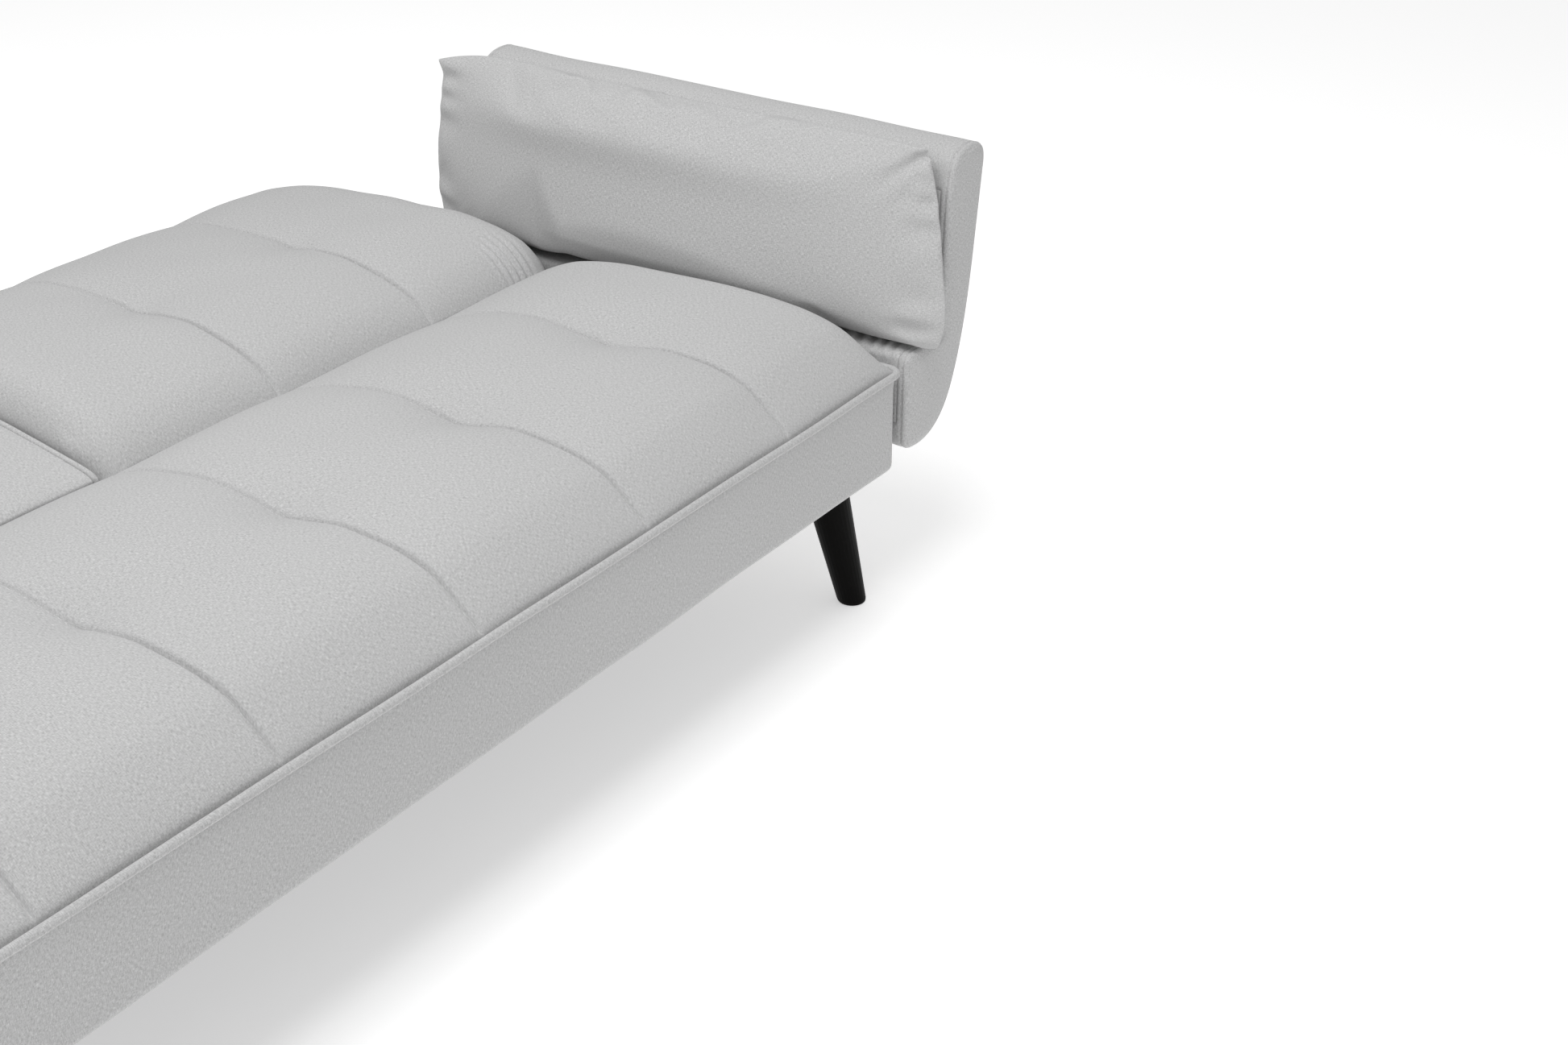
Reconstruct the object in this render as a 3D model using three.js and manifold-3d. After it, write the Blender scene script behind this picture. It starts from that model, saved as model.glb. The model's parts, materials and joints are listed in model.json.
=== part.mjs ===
// A click-clack futon sofa bed, lying flat: a padded seat on a timber base with
// four splayed legs and a straight middle one, two fixed arms, a hinged back in
// two padded sections with a fold-down console between them, and a loose bolster
// pillow at each arm.
//
// Millimetres. +X runs along the length to the right, +Y from front to back, and
// +Z up. The origin is on the floor, under the middle of the flat bed.

import * as THREE from 'three';
import { mergeVertices } from 'three/addons/utils/BufferGeometryUtils.js';
import Module from 'manifold-3d';

const wasm = await Module();
wasm.setup();

// ---- driving dimensions ----------------------------------------------------

const GAP = 0.3;                    // between pieces that touch

const CELL = 256;                   // width of one sewn channel
const END_CELL = 230;               // width of the channel at each end
const HALF_LENGTH = CELL / 2 + 2 * CELL + END_CELL;
const HALF_DEPTH = 530;             // half the depth of the flat bed
const SEAT_REAR = 12;               // where the seat ends and the gap starts
const PIPING_Z = 320;               // height of the corded edge of the seat
const PIPING_R = 5;

const SKIRT_BOTTOM = 180;
const SKIRT_T = 9;
const SKIRT_FACE = 3;               // the skirt sits this far inside the piping
const BOARD_T = 25;                 // front and rear boards of the base
const SIDE_T = 40;                  // side boards of the base
const BASE_BOTTOM = 181.5;
const BASE_TOP = 276;
const TAIL_TOP = 219;               // top of the base behind the seat
const TAIL_REAR = 215;              // how far back the base reaches
const BEAM_T = 20;

const LEG_TOP = 176;
const LEG_TOP_R = 28.5;
const LEG_FOOT_R = 18.5;
const LEG_SPLAY = 27;               // sideways and lengthways, over the height
const LEG_X = 803;                  // middle of the leg's top
const LEG_FRONT_Y = -463;
const LEG_REAR_Y = 163;
const LEG_MIDDLE_Y = -231;
const LEG_PLATE = 80;
const LEG_PLATE_T = 2.6;
const LEG_SIDES = 28;

const ARM_REAR = 220;
const ARM_INNER = 14;               // gap between the seat's end and the arm
const LINER_T = 3;
const BOLT_R = 5;
const BOLT_Z = 245;
const BOLT_YS = [-420, -90];

const HINGE_Y = 66;                 // the axis on which the back folds up
const HINGE_Z = 315;
const HINGE_R = 16;
const PIN_R = 6;
const BORE_R = 6.3;
const PLATE_T = 3.5;
const BACK_PLATE_X = HALF_LENGTH + 1;
const SEAT_PLATE_X = HALF_LENGTH + 6;

const BACK_EDGE_R = 46;             // the rolled front edge of the back
const BACK_BOTTOM = 249.3;
const BACK_FRAME_TOP = 319;
const BACK_FRAME_BOTTOM = 255;
const RAIL_T = 24;
const RAIL_HIGH = 345;              // the inner rail also carries the console's pin
const RAIL_RISE_Y = 112;            // where the inner rail reaches that height
const SECTION_INNER = CELL / 2 + 2; // the back section's end at the console
const SECTION_OUTER = HALF_LENGTH - 1;
const LINK = { y0: 22, y1: 42, z0: 236, z1: 256 };

const CONSOLE_PIVOT_Y = 140;
const CONSOLE_PIVOT_Z = 333;
const PIVOT_BOSS_R = 6.5;            // low enough to stay under the padding
const PIVOT_PLATE_T = 3;
const CONSOLE_HALF = 118;           // half the width of the console's padding
const CUP_R = 37;
const CUP_WALL = 2;
const CUP_DEPTH = 46;
const CUP_RIM_R = 43;
const CUP_X = 54;
const CUP_Y = 320;

// ---- materials ---------------------------------------------------------------

const finish = (color, roughness, metalness = 0) =>
  new THREE.MeshStandardMaterial({ color, roughness, metalness });

const linen = finish(0xc4c4c3, 0.92);
const lining = finish(0x26262a, 0.95);
const paintedWood = finish(0x141312, 0.42);
const timber = finish(0xc9a877, 0.7);
const plywood = finish(0xd4b98c, 0.72);
const blackSteel = finish(0x1c1d1f, 0.45, 0.8);
const zincSteel = finish(0xb4b6b8, 0.35, 0.9);
const blackPlastic = finish(0x202124, 0.5);

// ---- geometry helpers ----------------------------------------------------------

// Six times the enclosed volume: negative when the faces point inwards.
function signedVolume(position, index) {
  const a = new THREE.Vector3();
  const b = new THREE.Vector3();
  const c = new THREE.Vector3();
  let sum = 0;
  for (let i = 0; i < index.length; i += 3) {
    a.fromBufferAttribute(position, index[i]);
    b.fromBufferAttribute(position, index[i + 1]);
    c.fromBufferAttribute(position, index[i + 2]);
    sum += a.dot(b.cross(c));
  }
  return sum;
}

// One closed surface: merged points, no collapsed triangles, faces outwards.
function closed(geometry) {
  const bare = geometry.clone();
  bare.deleteAttribute('normal');
  bare.deleteAttribute('uv');
  const merged = mergeVertices(bare, 1e-3);
  const source = merged.index.array;
  const index = [];
  for (let i = 0; i < source.length; i += 3) {
    const [a, b, c] = [source[i], source[i + 1], source[i + 2]];
    if (a !== b && b !== c && c !== a) index.push(a, b, c);
  }
  if (signedVolume(merged.attributes.position, index) < 0) index.reverse();
  merged.setIndex(index);
  return merged;
}

function toSolid(geometry) {
  const ready = closed(geometry);
  return new wasm.Manifold(new wasm.Mesh({
    numProp: 3,
    vertProperties: new Float32Array(ready.attributes.position.array),
    triVerts: new Uint32Array(ready.index.array),
  }));
}

function fromSolid(solid) {
  const mesh = solid.getMesh();
  const geometry = new THREE.BufferGeometry();
  geometry.setAttribute('position', new THREE.BufferAttribute(mesh.vertProperties, 3));
  geometry.setIndex(new THREE.BufferAttribute(mesh.triVerts, 1));
  return geometry;
}

function cut(geometry, ...tools) {
  let solid = toSolid(geometry);
  for (const tool of tools) solid = solid.subtract(toSolid(tool));
  return fromSolid(solid);
}

function join(geometry, ...others) {
  let solid = toSolid(geometry);
  for (const other of others) solid = solid.add(toSolid(other));
  return fromSolid(solid);
}

function block(x0, x1, y0, y1, z0, z1) {
  const geometry = new THREE.BoxGeometry(x1 - x0, y1 - y0, z1 - z0);
  return geometry.translate((x0 + x1) / 2, (y0 + y1) / 2, (z0 + z1) / 2);
}

function shapeOf(points) {
  return new THREE.Shape(points.map(([u, v]) => new THREE.Vector2(u, v)));
}

function prism(shape, length, curveSegments = 6) {
  return new THREE.ExtrudeGeometry(shape, {
    depth: length,
    bevelEnabled: false,
    curveSegments,
  });
}

// A (y, z) outline swept from x0 to x1.
function alongX(shape, x0, x1) {
  const turn = new THREE.Matrix4().set(0, 0, 1, x0, 1, 0, 0, 0, 0, 1, 0, 0, 0, 0, 0, 1);
  return prism(shape, x1 - x0).applyMatrix4(turn);
}

// An (x, z) outline swept from y0 to y1.
function alongY(shape, y0, y1) {
  const turn = new THREE.Matrix4().set(1, 0, 0, 0, 0, 0, -1, y1, 0, 1, 0, 0, 0, 0, 0, 1);
  return prism(shape, y1 - y0).applyMatrix4(turn);
}

// A round bar along X.
function barX(radius, x0, x1, y, z, segments = 24) {
  const bar = new THREE.CylinderGeometry(radius, radius, x1 - x0, segments);
  return bar.rotateZ(Math.PI / 2).translate((x0 + x1) / 2, y, z);
}

// A profile of (radius, height) points turned about an upright axis.
function turned(points, segments = 24) {
  const profile = points.map(([r, h]) => new THREE.Vector2(r, h));
  return new THREE.LatheGeometry(profile, segments).rotateX(Math.PI / 2);
}

// A closed skin over rings of equal length, with a fan over each end.
function loft(rings) {
  const positions = [];
  const index = [];
  const count = rings[0].length;
  for (const ring of rings) {
    for (const point of ring) positions.push(...point);
  }
  for (let r = 0; r < rings.length - 1; r += 1) {
    for (let i = 0; i < count; i += 1) {
      const a = r * count + i;
      const b = r * count + (i + 1) % count;
      index.push(a, b, b + count, a, b + count, a + count);
    }
  }
  const cap = (ring, first, flip) => {
    const centre = positions.length / 3;
    const mean = [0, 1, 2].map((k) => ring.reduce((sum, p) => sum + p[k], 0) / count);
    positions.push(...mean);
    for (let i = 0; i < count; i += 1) {
      const pair = [first + i, first + (i + 1) % count];
      if (flip) pair.reverse();
      index.push(pair[1], pair[0], centre);
    }
  };
  cap(rings[0], 0, false);
  cap(rings[rings.length - 1], (rings.length - 1) * count, true);
  const geometry = new THREE.BufferGeometry();
  geometry.setAttribute('position', new THREE.Float32BufferAttribute(positions, 3));
  geometry.setIndex(index);
  return geometry;
}

function offsetPath(points, distance) {
  return points.map(([u, v], i) => {
    const before = points[Math.max(i - 1, 0)];
    const after = points[Math.min(i + 1, points.length - 1)];
    const along = new THREE.Vector2(after[0] - before[0], after[1] - before[1]).normalize();
    return [u - along.y * distance, v + along.x * distance];
  });
}

// The same piece on the other side of the middle.
function mirrored(geometry) {
  return geometry.clone().scale(-1, 1, 1);
}

// ---- the assembly ------------------------------------------------------------------

const sofa = new THREE.Group();

function add(name, geometry, material) {
  const mesh = new THREE.Mesh(closed(geometry), material);
  mesh.name = name;
  sofa.add(mesh);
}

// The piece given is the right one, and its twin is its mirror image.
function addPair(name, geometry, material) {
  add(`${name}_right`, geometry, material);
  add(`${name}_left`, mirrored(geometry), material);
}

// ---- base frame ----------------------------------------------------------------------

const skirtX = HALF_LENGTH - 0.5;
const sideX1 = skirtX - SKIRT_T - 0.5;
const sideX0 = sideX1 - SIDE_T;
const skirtY = -HALF_DEPTH + SKIRT_FACE;
const boardY = skirtY + SKIRT_T + 0.5;
const innerX = sideX0 - 0.5;
const rearBoardY = -12;

function sideBoard() {
  const y0 = boardY + BOARD_T + GAP;
  const y1 = TAIL_REAR;
  const outline = shapeOf([
    [y0, BASE_BOTTOM],
    [y1, BASE_BOTTOM],
    [y1, TAIL_TOP],
    [rearBoardY, TAIL_TOP],
    [rearBoardY, BASE_TOP],
    [y0, BASE_TOP],
  ]);
  const holes = BOLT_YS.map((y) => barX(BOLT_R + GAP, sideX0 - 5, sideX1 + 5, y, BOLT_Z));
  return cut(alongX(outline, sideX0, sideX1), ...holes);
}

function baseFrame() {
  const rear0 = rearBoardY - BOARD_T;
  const front = block(-sideX1, sideX1, boardY, boardY + BOARD_T, BASE_BOTTOM, BASE_TOP);
  add('base_front_board', front, timber);
  add('base_rear_board', block(-innerX, innerX, rear0, rearBoardY, BASE_BOTTOM, BASE_TOP), timber);
  addPair('base_side_board', sideBoard(), timber);
  const beam0 = TAIL_REAR - BEAM_T;
  add('base_tail_beam', block(-innerX, innerX, beam0, TAIL_REAR, BASE_BOTTOM, TAIL_TOP), timber);
  const middle0 = boardY + BOARD_T + GAP;
  const middle = block(-SIDE_T / 2, SIDE_T / 2, middle0, rear0 - GAP, BASE_BOTTOM, TAIL_TOP);
  add('base_middle_board', middle, timber);
}

// A mat of zigzag wires clipped between the front and rear boards.
function springMat() {
  const wire = 4;
  const waves = 7;
  const swing = 34;
  const spacing = 208;
  const z0 = BASE_TOP + GAP;
  const y0 = boardY + 4;
  const y1 = rearBoardY - 4;
  const pitch = (y1 - y0 - 2 * wire) / waves;
  const band = (x0, x1, a, b) => block(x0, x1, a, b, z0, z0 + wire);
  const edge = innerX - 20;
  const pieces = [band(-edge, edge, y0, y0 + wire), band(-edge, edge, y1 - wire, y1)];
  for (let x = -edge + 60; x < edge - swing; x += spacing) {
    for (let k = 0; k <= waves; k += 1) {
      const y = y0 + wire + k * pitch;
      const side = k % 2 ? x - swing : x + swing;
      if (k < waves) pieces.push(band(side - wire / 2, side + wire / 2, y - wire, y + pitch));
      pieces.push(band(x - swing, x + swing, y - wire, y));
    }
  }
  return join(...pieces);
}

function dustCover() {
  const bottom = SKIRT_BOTTOM - 0.4;
  return block(-sideX0 - 25, sideX0 + 25, boardY, TAIL_REAR, bottom, bottom + 1.5);
}

// ---- legs --------------------------------------------------------------------------------

const footRounding = 4;

function legShape(height) {
  return turned([
    [0, 0],
    [LEG_FOOT_R - footRounding, 0],
    [LEG_FOOT_R - 1, 1.2],
    [LEG_FOOT_R, footRounding],
    [LEG_TOP_R, height],
    [0, height],
  ], LEG_SIDES);
}

// The foot stands out towards the corner that (x, y) points at.
function splayedLeg(x, y, towardX, towardY) {
  const lean = LEG_SPLAY / LEG_TOP;
  const skew = new THREE.Matrix4().set(
    1, 0, -towardX * lean, x + towardX * LEG_SPLAY,
    0, 1, -towardY * lean, y + towardY * LEG_SPLAY,
    0, 0, 1, 0,
    0, 0, 0, 1,
  );
  return legShape(LEG_TOP).applyMatrix4(skew);
}

function legPlate(y) {
  const half = LEG_PLATE / 2;
  const z0 = LEG_TOP + GAP;
  return block(LEG_X - half, LEG_X + half, y - half, y + half, z0, z0 + LEG_PLATE_T);
}

function legs() {
  addPair('leg_front', splayedLeg(LEG_X, LEG_FRONT_Y, 1, -1), paintedWood);
  addPair('leg_rear', splayedLeg(LEG_X, LEG_REAR_Y, 1, 1), paintedWood);
  addPair('leg_plate_front', legPlate(LEG_FRONT_Y), zincSteel);
  addPair('leg_plate_rear', legPlate(LEG_REAR_Y), zincSteel);
  add('leg_middle', legShape(SKIRT_BOTTOM - 1).translate(0, LEG_MIDDLE_Y, 0), paintedWood);
}

// ---- seat ----------------------------------------------------------------------------------

// Height of the crown above the piping, along the depth of a panel. The seat and
// the back share it, each from its own front edge at 0 to its rear edge at 1.
const CROWN = [
  [0, 10], [0.05, 30], [0.12, 47], [0.25, 58], [0.36, 60],
  [0.5, 54], [0.66, 54], [0.8, 46], [0.92, 32], [0.98, 18],
];

// How far the crown falls away towards a panel's ends: 1 in the middle.
function fall(x, x0, x1) {
  const reach = 90;
  const near = Math.min(x - x0, x1 - x) / reach;
  const t = Math.max(0, Math.min(1, near));
  return 0.62 + 0.38 * Math.sqrt(1 - (1 - t) ** 2);
}

function stations(x0, x1) {
  const inset = [0, 8, 25, 55, 90];
  return [...inset.map((d) => x0 + d), ...inset.reverse().map((d) => x1 - d)];
}

function crownRing(x, x0, x1, y0, y1, lower) {
  const scale = fall(x, x0, x1);
  const top = CROWN.map(([s, h]) => [x, y0 + s * (y1 - y0), PIPING_Z + h * scale]);
  return [...top, ...lower.map(([y, z]) => [x, y, z])];
}

function seatCushion() {
  const clear = 5;
  const x1 = HALF_LENGTH - 2 * PIPING_R - clear;
  const y0 = -HALF_DEPTH + 2 * PIPING_R + clear;
  const bottom = BASE_TOP + 5;
  const lower = [[SEAT_REAR, PIPING_Z - 8], [SEAT_REAR - 8, bottom], [y0 + 6, bottom], [y0, bottom + 8]];
  return loft(stations(-x1, x1).map((x) => crownRing(x, -x1, x1, y0, SEAT_REAR, lower)));
}

function seatPiping() {
  const outerX = HALF_LENGTH - PIPING_R;
  const outerY = -HALF_DEPTH + PIPING_R;
  const corner = 14;
  const route = new THREE.CurvePath();
  const at = (x, y) => new THREE.Vector3(x, y, PIPING_Z);
  route.add(new THREE.LineCurve3(at(-outerX, SEAT_REAR - 4), at(-outerX, outerY + corner)));
  route.add(new THREE.QuadraticBezierCurve3(
    at(-outerX, outerY + corner), at(-outerX, outerY), at(-outerX + corner, outerY)));
  route.add(new THREE.LineCurve3(at(-outerX + corner, outerY), at(outerX - corner, outerY)));
  route.add(new THREE.QuadraticBezierCurve3(
    at(outerX - corner, outerY), at(outerX, outerY), at(outerX, outerY + corner)));
  route.add(new THREE.LineCurve3(at(outerX, outerY + corner), at(outerX, SEAT_REAR - 4)));
  return sweep(route, PIPING_R, 8);
}

// A round section carried along a flat route, with a ring at each point of it.
function sweep(route, radius, sides) {
  const points = [];
  for (const curve of route.curves) {
    const steps = curve.isLineCurve3 ? 1 : 4;
    for (let i = 0; i < steps; i += 1) {
      points.push([curve.getPoint(i / steps), curve.getTangent(i / steps)]);
    }
  }
  const last = route.curves[route.curves.length - 1];
  points.push([last.getPoint(1), last.getTangent(1)]);
  return loft(points.map(([point, along]) => {
    const ring = [];
    for (let i = 0; i < sides; i += 1) {
      const angle = (i / sides) * 2 * Math.PI;
      const out = Math.cos(angle) * radius;
      ring.push([point.x - along.y * out, point.y + along.x * out, point.z + Math.sin(angle) * radius]);
    }
    return ring;
  }));
}

function skirts() {
  const top = PIPING_Z - PIPING_R - GAP;
  const front = block(-skirtX, skirtX, skirtY, skirtY + SKIRT_T, SKIRT_BOTTOM, top);
  add('seat_skirt_front', front, linen);
  const side0 = skirtX - SKIRT_T;
  const side = block(side0, skirtX, skirtY + SKIRT_T + GAP, SEAT_REAR, SKIRT_BOTTOM, top);
  const holes = BOLT_YS.map((y) => barX(BOLT_R + GAP, side0 - 5, skirtX + 5, y, BOLT_Z));
  addPair('seat_skirt_end', cut(side, ...holes), linen);
  const rear = block(-innerX, innerX, SEAT_REAR - SKIRT_T, SEAT_REAR, BASE_BOTTOM, BASE_TOP + 4);
  add('seat_skirt_rear', rear, lining);
}

function seat() {
  add('seat_cushion', seatCushion(), linen);
  add('seat_piping', seatPiping(), linen);
  add('seat_spring_mat', springMat(), zincSteel);
  add('dust_cover', dustCover(), lining);
  skirts();
}

// ---- arms ------------------------------------------------------------------------------------

const armInner = HALF_LENGTH + ARM_INNER;

// The inner face: down the back of the pillow, over the ledge it stands on, and
// down beside the seat.
const armFace = [
  [972.3, 508], [970.5, 476], [968.6, 440], [967, 400], [966, 345], [960.5, 330.5],
  [948, 325], [897, 325], [888, 321], [armInner, 312], [armInner, 235],
];

function armOutline() {
  const shape = new THREE.Shape();
  shape.moveTo(armInner, 312);
  shape.lineTo(armInner, 212);
  shape.quadraticCurveTo(armInner, 200, 902, 197);
  shape.bezierCurveTo(950, 191, 976, 216, 992, 247);
  shape.bezierCurveTo(1014, 292, 1027, 350, 1036, 420);
  shape.lineTo(1050, 524);
  shape.bezierCurveTo(1053, 545, 1042, 555, 1022, 555);
  shape.bezierCurveTo(1000, 555, 984, 548, 979, 532);
  for (const [x, z] of armFace.slice(0, -1)) shape.lineTo(x, z);
  return shape;
}

function band(inner, outer) {
  return shapeOf([...offsetPath(armFace, inner), ...offsetPath(armFace, outer).reverse()]);
}

function arms() {
  const boltEnd = armInner + 46;
  const holes = BOLT_YS.map((y) => barX(BOLT_R + GAP, armInner - 10, boltEnd + GAP, y, BOLT_Z));
  const liner0 = -HALF_DEPTH + 15;
  const liner1 = ARM_REAR - 15;
  const recess = alongY(band(-4, LINER_T + GAP), liner0 - GAP, liner1 + GAP);
  const pocket = block(960, 992, -503, 193, 344, 501);
  const shell = cut(alongY(armOutline(), -HALF_DEPTH, ARM_REAR), recess, pocket, ...holes);
  addPair('arm_shell', shell, linen);
  addPair('arm_liner', cut(alongY(band(0, LINER_T), liner0, liner1), ...holes), linen);
  addPair('arm_board', block(977, 991.5, -502, 192, 345, 500), plywood);
  BOLT_YS.forEach((y, i) => addPair(['arm_bolt_front', 'arm_bolt_rear'][i], armBolt(y, boltEnd), zincSteel));
}

function armBolt(y, end) {
  const head = barX(10, sideX0 - 9, sideX0 - GAP, y, BOLT_Z, 6);
  return join(head, barX(BOLT_R, sideX0 - 5, end, y, BOLT_Z));
}

// ---- click-clack hinges -------------------------------------------------------------------------

// A plate with one rounded end at the axis. The foot's points go round the rest.
function hingePlate(x, foot, rivets) {
  const shape = new THREE.Shape();
  foot.forEach(([y, z], i) => (i ? shape.lineTo(y, z) : shape.moveTo(y, z)));
  const plate = join(
    alongX(shape, x, x + PLATE_T),
    barX(HINGE_R, x, x + PLATE_T, HINGE_Y, HINGE_Z),
    ...rivets.map(([y, z]) => barX(4.5, x + PLATE_T - 1, x + PLATE_T + 0.9, y, z, 12)),
  );
  return cut(plate, barX(BORE_R, x - 5, x + PLATE_T + 5, HINGE_Y, HINGE_Z));
}

function hinges() {
  const seatFoot = [
    [-62, 214], [46, 214], [HINGE_Y + HINGE_R, HINGE_Z], [HINGE_Y, HINGE_Z + HINGE_R],
    [HINGE_Y - 12, HINGE_Z + 9], [-10, 276], [-62, 268],
  ];
  const seatRivets = [[-48, 228], [-48, 256], [14, 228], [20, 262]];
  addPair('hinge_seat_plate', hingePlate(SEAT_PLATE_X, seatFoot, seatRivets), blackSteel);
  const backFoot = [
    [LINK.y0, LINK.z0], [LINK.y1, LINK.z0], [HINGE_Y + 10, 281], [236, 272], [244, 280],
    [244, 300], [236, 308], [HINGE_Y, HINGE_Z + HINGE_R], [HINGE_Y - HINGE_R, HINGE_Z],
    [LINK.y0, LINK.z1 + 6],
  ];
  const backRivets = [[110, 295], [168, 292], [228, 290]];
  addPair('hinge_back_plate', hingePlate(BACK_PLATE_X, backFoot, backRivets), blackSteel);
  const washer = SEAT_PLATE_X + PLATE_T + GAP;
  const pin = join(
    barX(PIN_R, BACK_PLATE_X - 0.6, washer + 1, HINGE_Y, HINGE_Z),
    barX(PIN_R + 4, washer, washer + 2.2, HINGE_Y, HINGE_Z),
  );
  addPair('hinge_pin', pin, zincSteel);
}

// ---- back ------------------------------------------------------------------------------------------

const frameY0 = 50;
const beamY0 = 488;
const beamY1 = 512;

// The rolled front edge, from the top of the circle down and round to the bottom.
function frontRoll() {
  const points = [];
  for (let degrees = 250; degrees >= 165; degrees -= 17) {
    const a = (degrees * Math.PI) / 180;
    points.push([HINGE_Y + BACK_EDGE_R * Math.cos(a), HINGE_Z + BACK_EDGE_R * Math.sin(a)]);
  }
  return points;
}

function backCushion() {
  const y0 = HINGE_Y - BACK_EDGE_R + 5;
  const lower = [
    [HALF_DEPTH, PIPING_Z - 6], [HALF_DEPTH, 262], [HALF_DEPTH - 10, BACK_BOTTOM],
    [80, BACK_BOTTOM], ...frontRoll(),
  ];
  const xs = stations(SECTION_INNER, SECTION_OUTER);
  const body = loft(xs.map((x) =>
    crownRing(x, SECTION_INNER, SECTION_OUTER, y0, HALF_DEPTH, lower)));
  const inner = SECTION_INNER + 3.7;
  const outer = SECTION_OUTER - 3.7;
  const pocket = block(inner, outer, frameY0 - GAP, beamY1 + GAP, BACK_BOTTOM - 9, BACK_FRAME_TOP + 3);
  const railSlot = block(inner, inner + RAIL_T + 1, frameY0 - GAP, beamY0, 300, RAIL_HIGH + GAP);
  const beamSlot = block(inner - 9, inner + 9, beamY0 - GAP, beamY1 + GAP, BACK_BOTTOM - 9, 295);
  const pinHole = barX(8, inner - 9, inner + 9, CONSOLE_PIVOT_Y, CONSOLE_PIVOT_Z);
  return cut(body, pocket, railSlot, beamSlot, pinHole);
}

function backFrame() {
  const inner0 = SECTION_INNER + 4;
  const inner1 = inner0 + RAIL_T;
  const outer1 = SECTION_OUTER - 4;
  const outer0 = outer1 - RAIL_T;
  const z0 = BACK_FRAME_BOTTOM;
  const bore = barX(BORE_R, inner0 - 5, inner1 + 5, CONSOLE_PIVOT_Y, CONSOLE_PIVOT_Z);
  const railSide = shapeOf([
    [frameY0, z0], [beamY0 - GAP, z0], [beamY0 - GAP, RAIL_HIGH], [RAIL_RISE_Y, RAIL_HIGH],
    [frameY0, BACK_FRAME_TOP],
  ]);
  const innerRail = alongX(railSide, inner0, inner1);
  addPair('back_inner_rail', cut(innerRail, bore), timber);
  addPair('back_end_rail', block(outer0, outer1, frameY0, beamY0 - GAP, z0, BACK_FRAME_TOP), timber);
  const low = block(inner1 + GAP, outer0 - GAP, frameY0, frameY0 + RAIL_T, z0, BACK_FRAME_TOP);
  addPair('back_lower_rail', low, timber);
  add('back_top_beam', block(-outer1, outer1, beamY0, beamY1, z0, 294), timber);
  const reach = BACK_PLATE_X - GAP;
  add('back_link_tube', block(-reach, reach, LINK.y0, LINK.y1, LINK.z0, LINK.z1), blackSteel);
}

function back() {
  addPair('back_cushion', backCushion(), linen);
  const cover = block(SECTION_INNER + 1, SECTION_OUTER - 1, 82, HALF_DEPTH - 4, 246, 249);
  addPair('back_rear_cover', cover, lining);
  backFrame();
}

// ---- console ----------------------------------------------------------------------------------------

const consoleFront = 24;
const consoleRear = 507;
const consoleBoardZ = 295;
const consoleBoardT = 10;

function consoleCushion() {
  const z0 = consoleBoardZ + consoleBoardT + GAP;
  const profile = shapeOf([
    [consoleFront + 10, z0], [consoleRear, z0], [consoleRear, 328], [consoleRear - 12, 341],
    [440, 349], [350, 351], [187, 346], [80, 335], [consoleFront + 6, 325], [consoleFront, 317],
  ]);
  return alongX(profile, -CONSOLE_HALF, CONSOLE_HALF);
}

// A moulded pan that closes the underside, with a hole for each cup.
function consoleTray() {
  const half = 110;
  const [y0, y1, z0, z1] = [205, 480, 246, consoleBoardZ - GAP];
  const wall = 3;
  const pan = block(-half, half, y0, y1, z0, z1);
  const hollow = block(-half + wall, half - wall, y0 + wall, y1 - wall, z0 + wall, z1 + 5);
  const holes = [-CUP_X, CUP_X].map((x) => {
    const drill = new THREE.CylinderGeometry(CUP_R + CUP_WALL + 0.6, CUP_R + CUP_WALL + 0.6, 20, 32);
    return drill.rotateX(Math.PI / 2).translate(x, CUP_Y, z0);
  });
  return cut(pan, hollow, ...holes);
}

// The cup's mouth opens downwards while the console is closed.
function cupHolder(x) {
  const rimZ = 246 - GAP;
  const outer = CUP_R + CUP_WALL;
  return turned([
    [0, CUP_DEPTH - CUP_WALL], [CUP_R - 2, CUP_DEPTH - CUP_WALL], [CUP_R, CUP_DEPTH - 6],
    [CUP_R, 0], [CUP_R + 0.8, -2], [CUP_RIM_R, -2], [CUP_RIM_R, 0],
    [outer, 0], [outer, CUP_DEPTH - 5], [outer - 3, CUP_DEPTH], [0, CUP_DEPTH],
  ], 32).translate(x, CUP_Y, rimZ);
}

// A steel side plate with the stub pin that the console turns on.
function consolePivot() {
  const x0 = CONSOLE_HALF + 1;
  const [y, z] = [CONSOLE_PIVOT_Y, CONSOLE_PIVOT_Z];
  const strap = shapeOf([[y, z - PIVOT_BOSS_R], [262, 296], [268, 306], [262, 316], [y, z + PIVOT_BOSS_R]]);
  return join(
    alongX(strap, x0, x0 + PIVOT_PLATE_T),
    barX(PIVOT_BOSS_R, x0, x0 + PIVOT_PLATE_T, y, z),
    barX(PIN_R, x0 + 1, SECTION_INNER + 20, y, z),
  );
}

function centreConsole() {
  add('console_cushion', consoleCushion(), linen);
  const board = block(1 - CONSOLE_HALF, CONSOLE_HALF - 1, consoleFront + 10, 500, consoleBoardZ,
    consoleBoardZ + consoleBoardT);
  add('console_board', board, plywood);
  add('console_tray', consoleTray(), blackPlastic);
  add('cup_holder_right', cupHolder(CUP_X), blackPlastic);
  add('cup_holder_left', cupHolder(-CUP_X), blackPlastic);
  addPair('console_pivot', consolePivot(), blackSteel);
}

// ---- pillows -------------------------------------------------------------------------------------------

// Section through the middle: flat towards the arm, full towards the seat.
const PILLOW_PROUD = 30;             // the pillow sticks out behind the arm
const PILLOW = [
  [925, 328], [897, 344], [881, 372], [874, 410], [874, 452], [882, 496], [902, 530], [932, 553],
  [966, 566], [969, 545], [964, 500], [962, 430], [960, 370], [952, 340],
];

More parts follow.
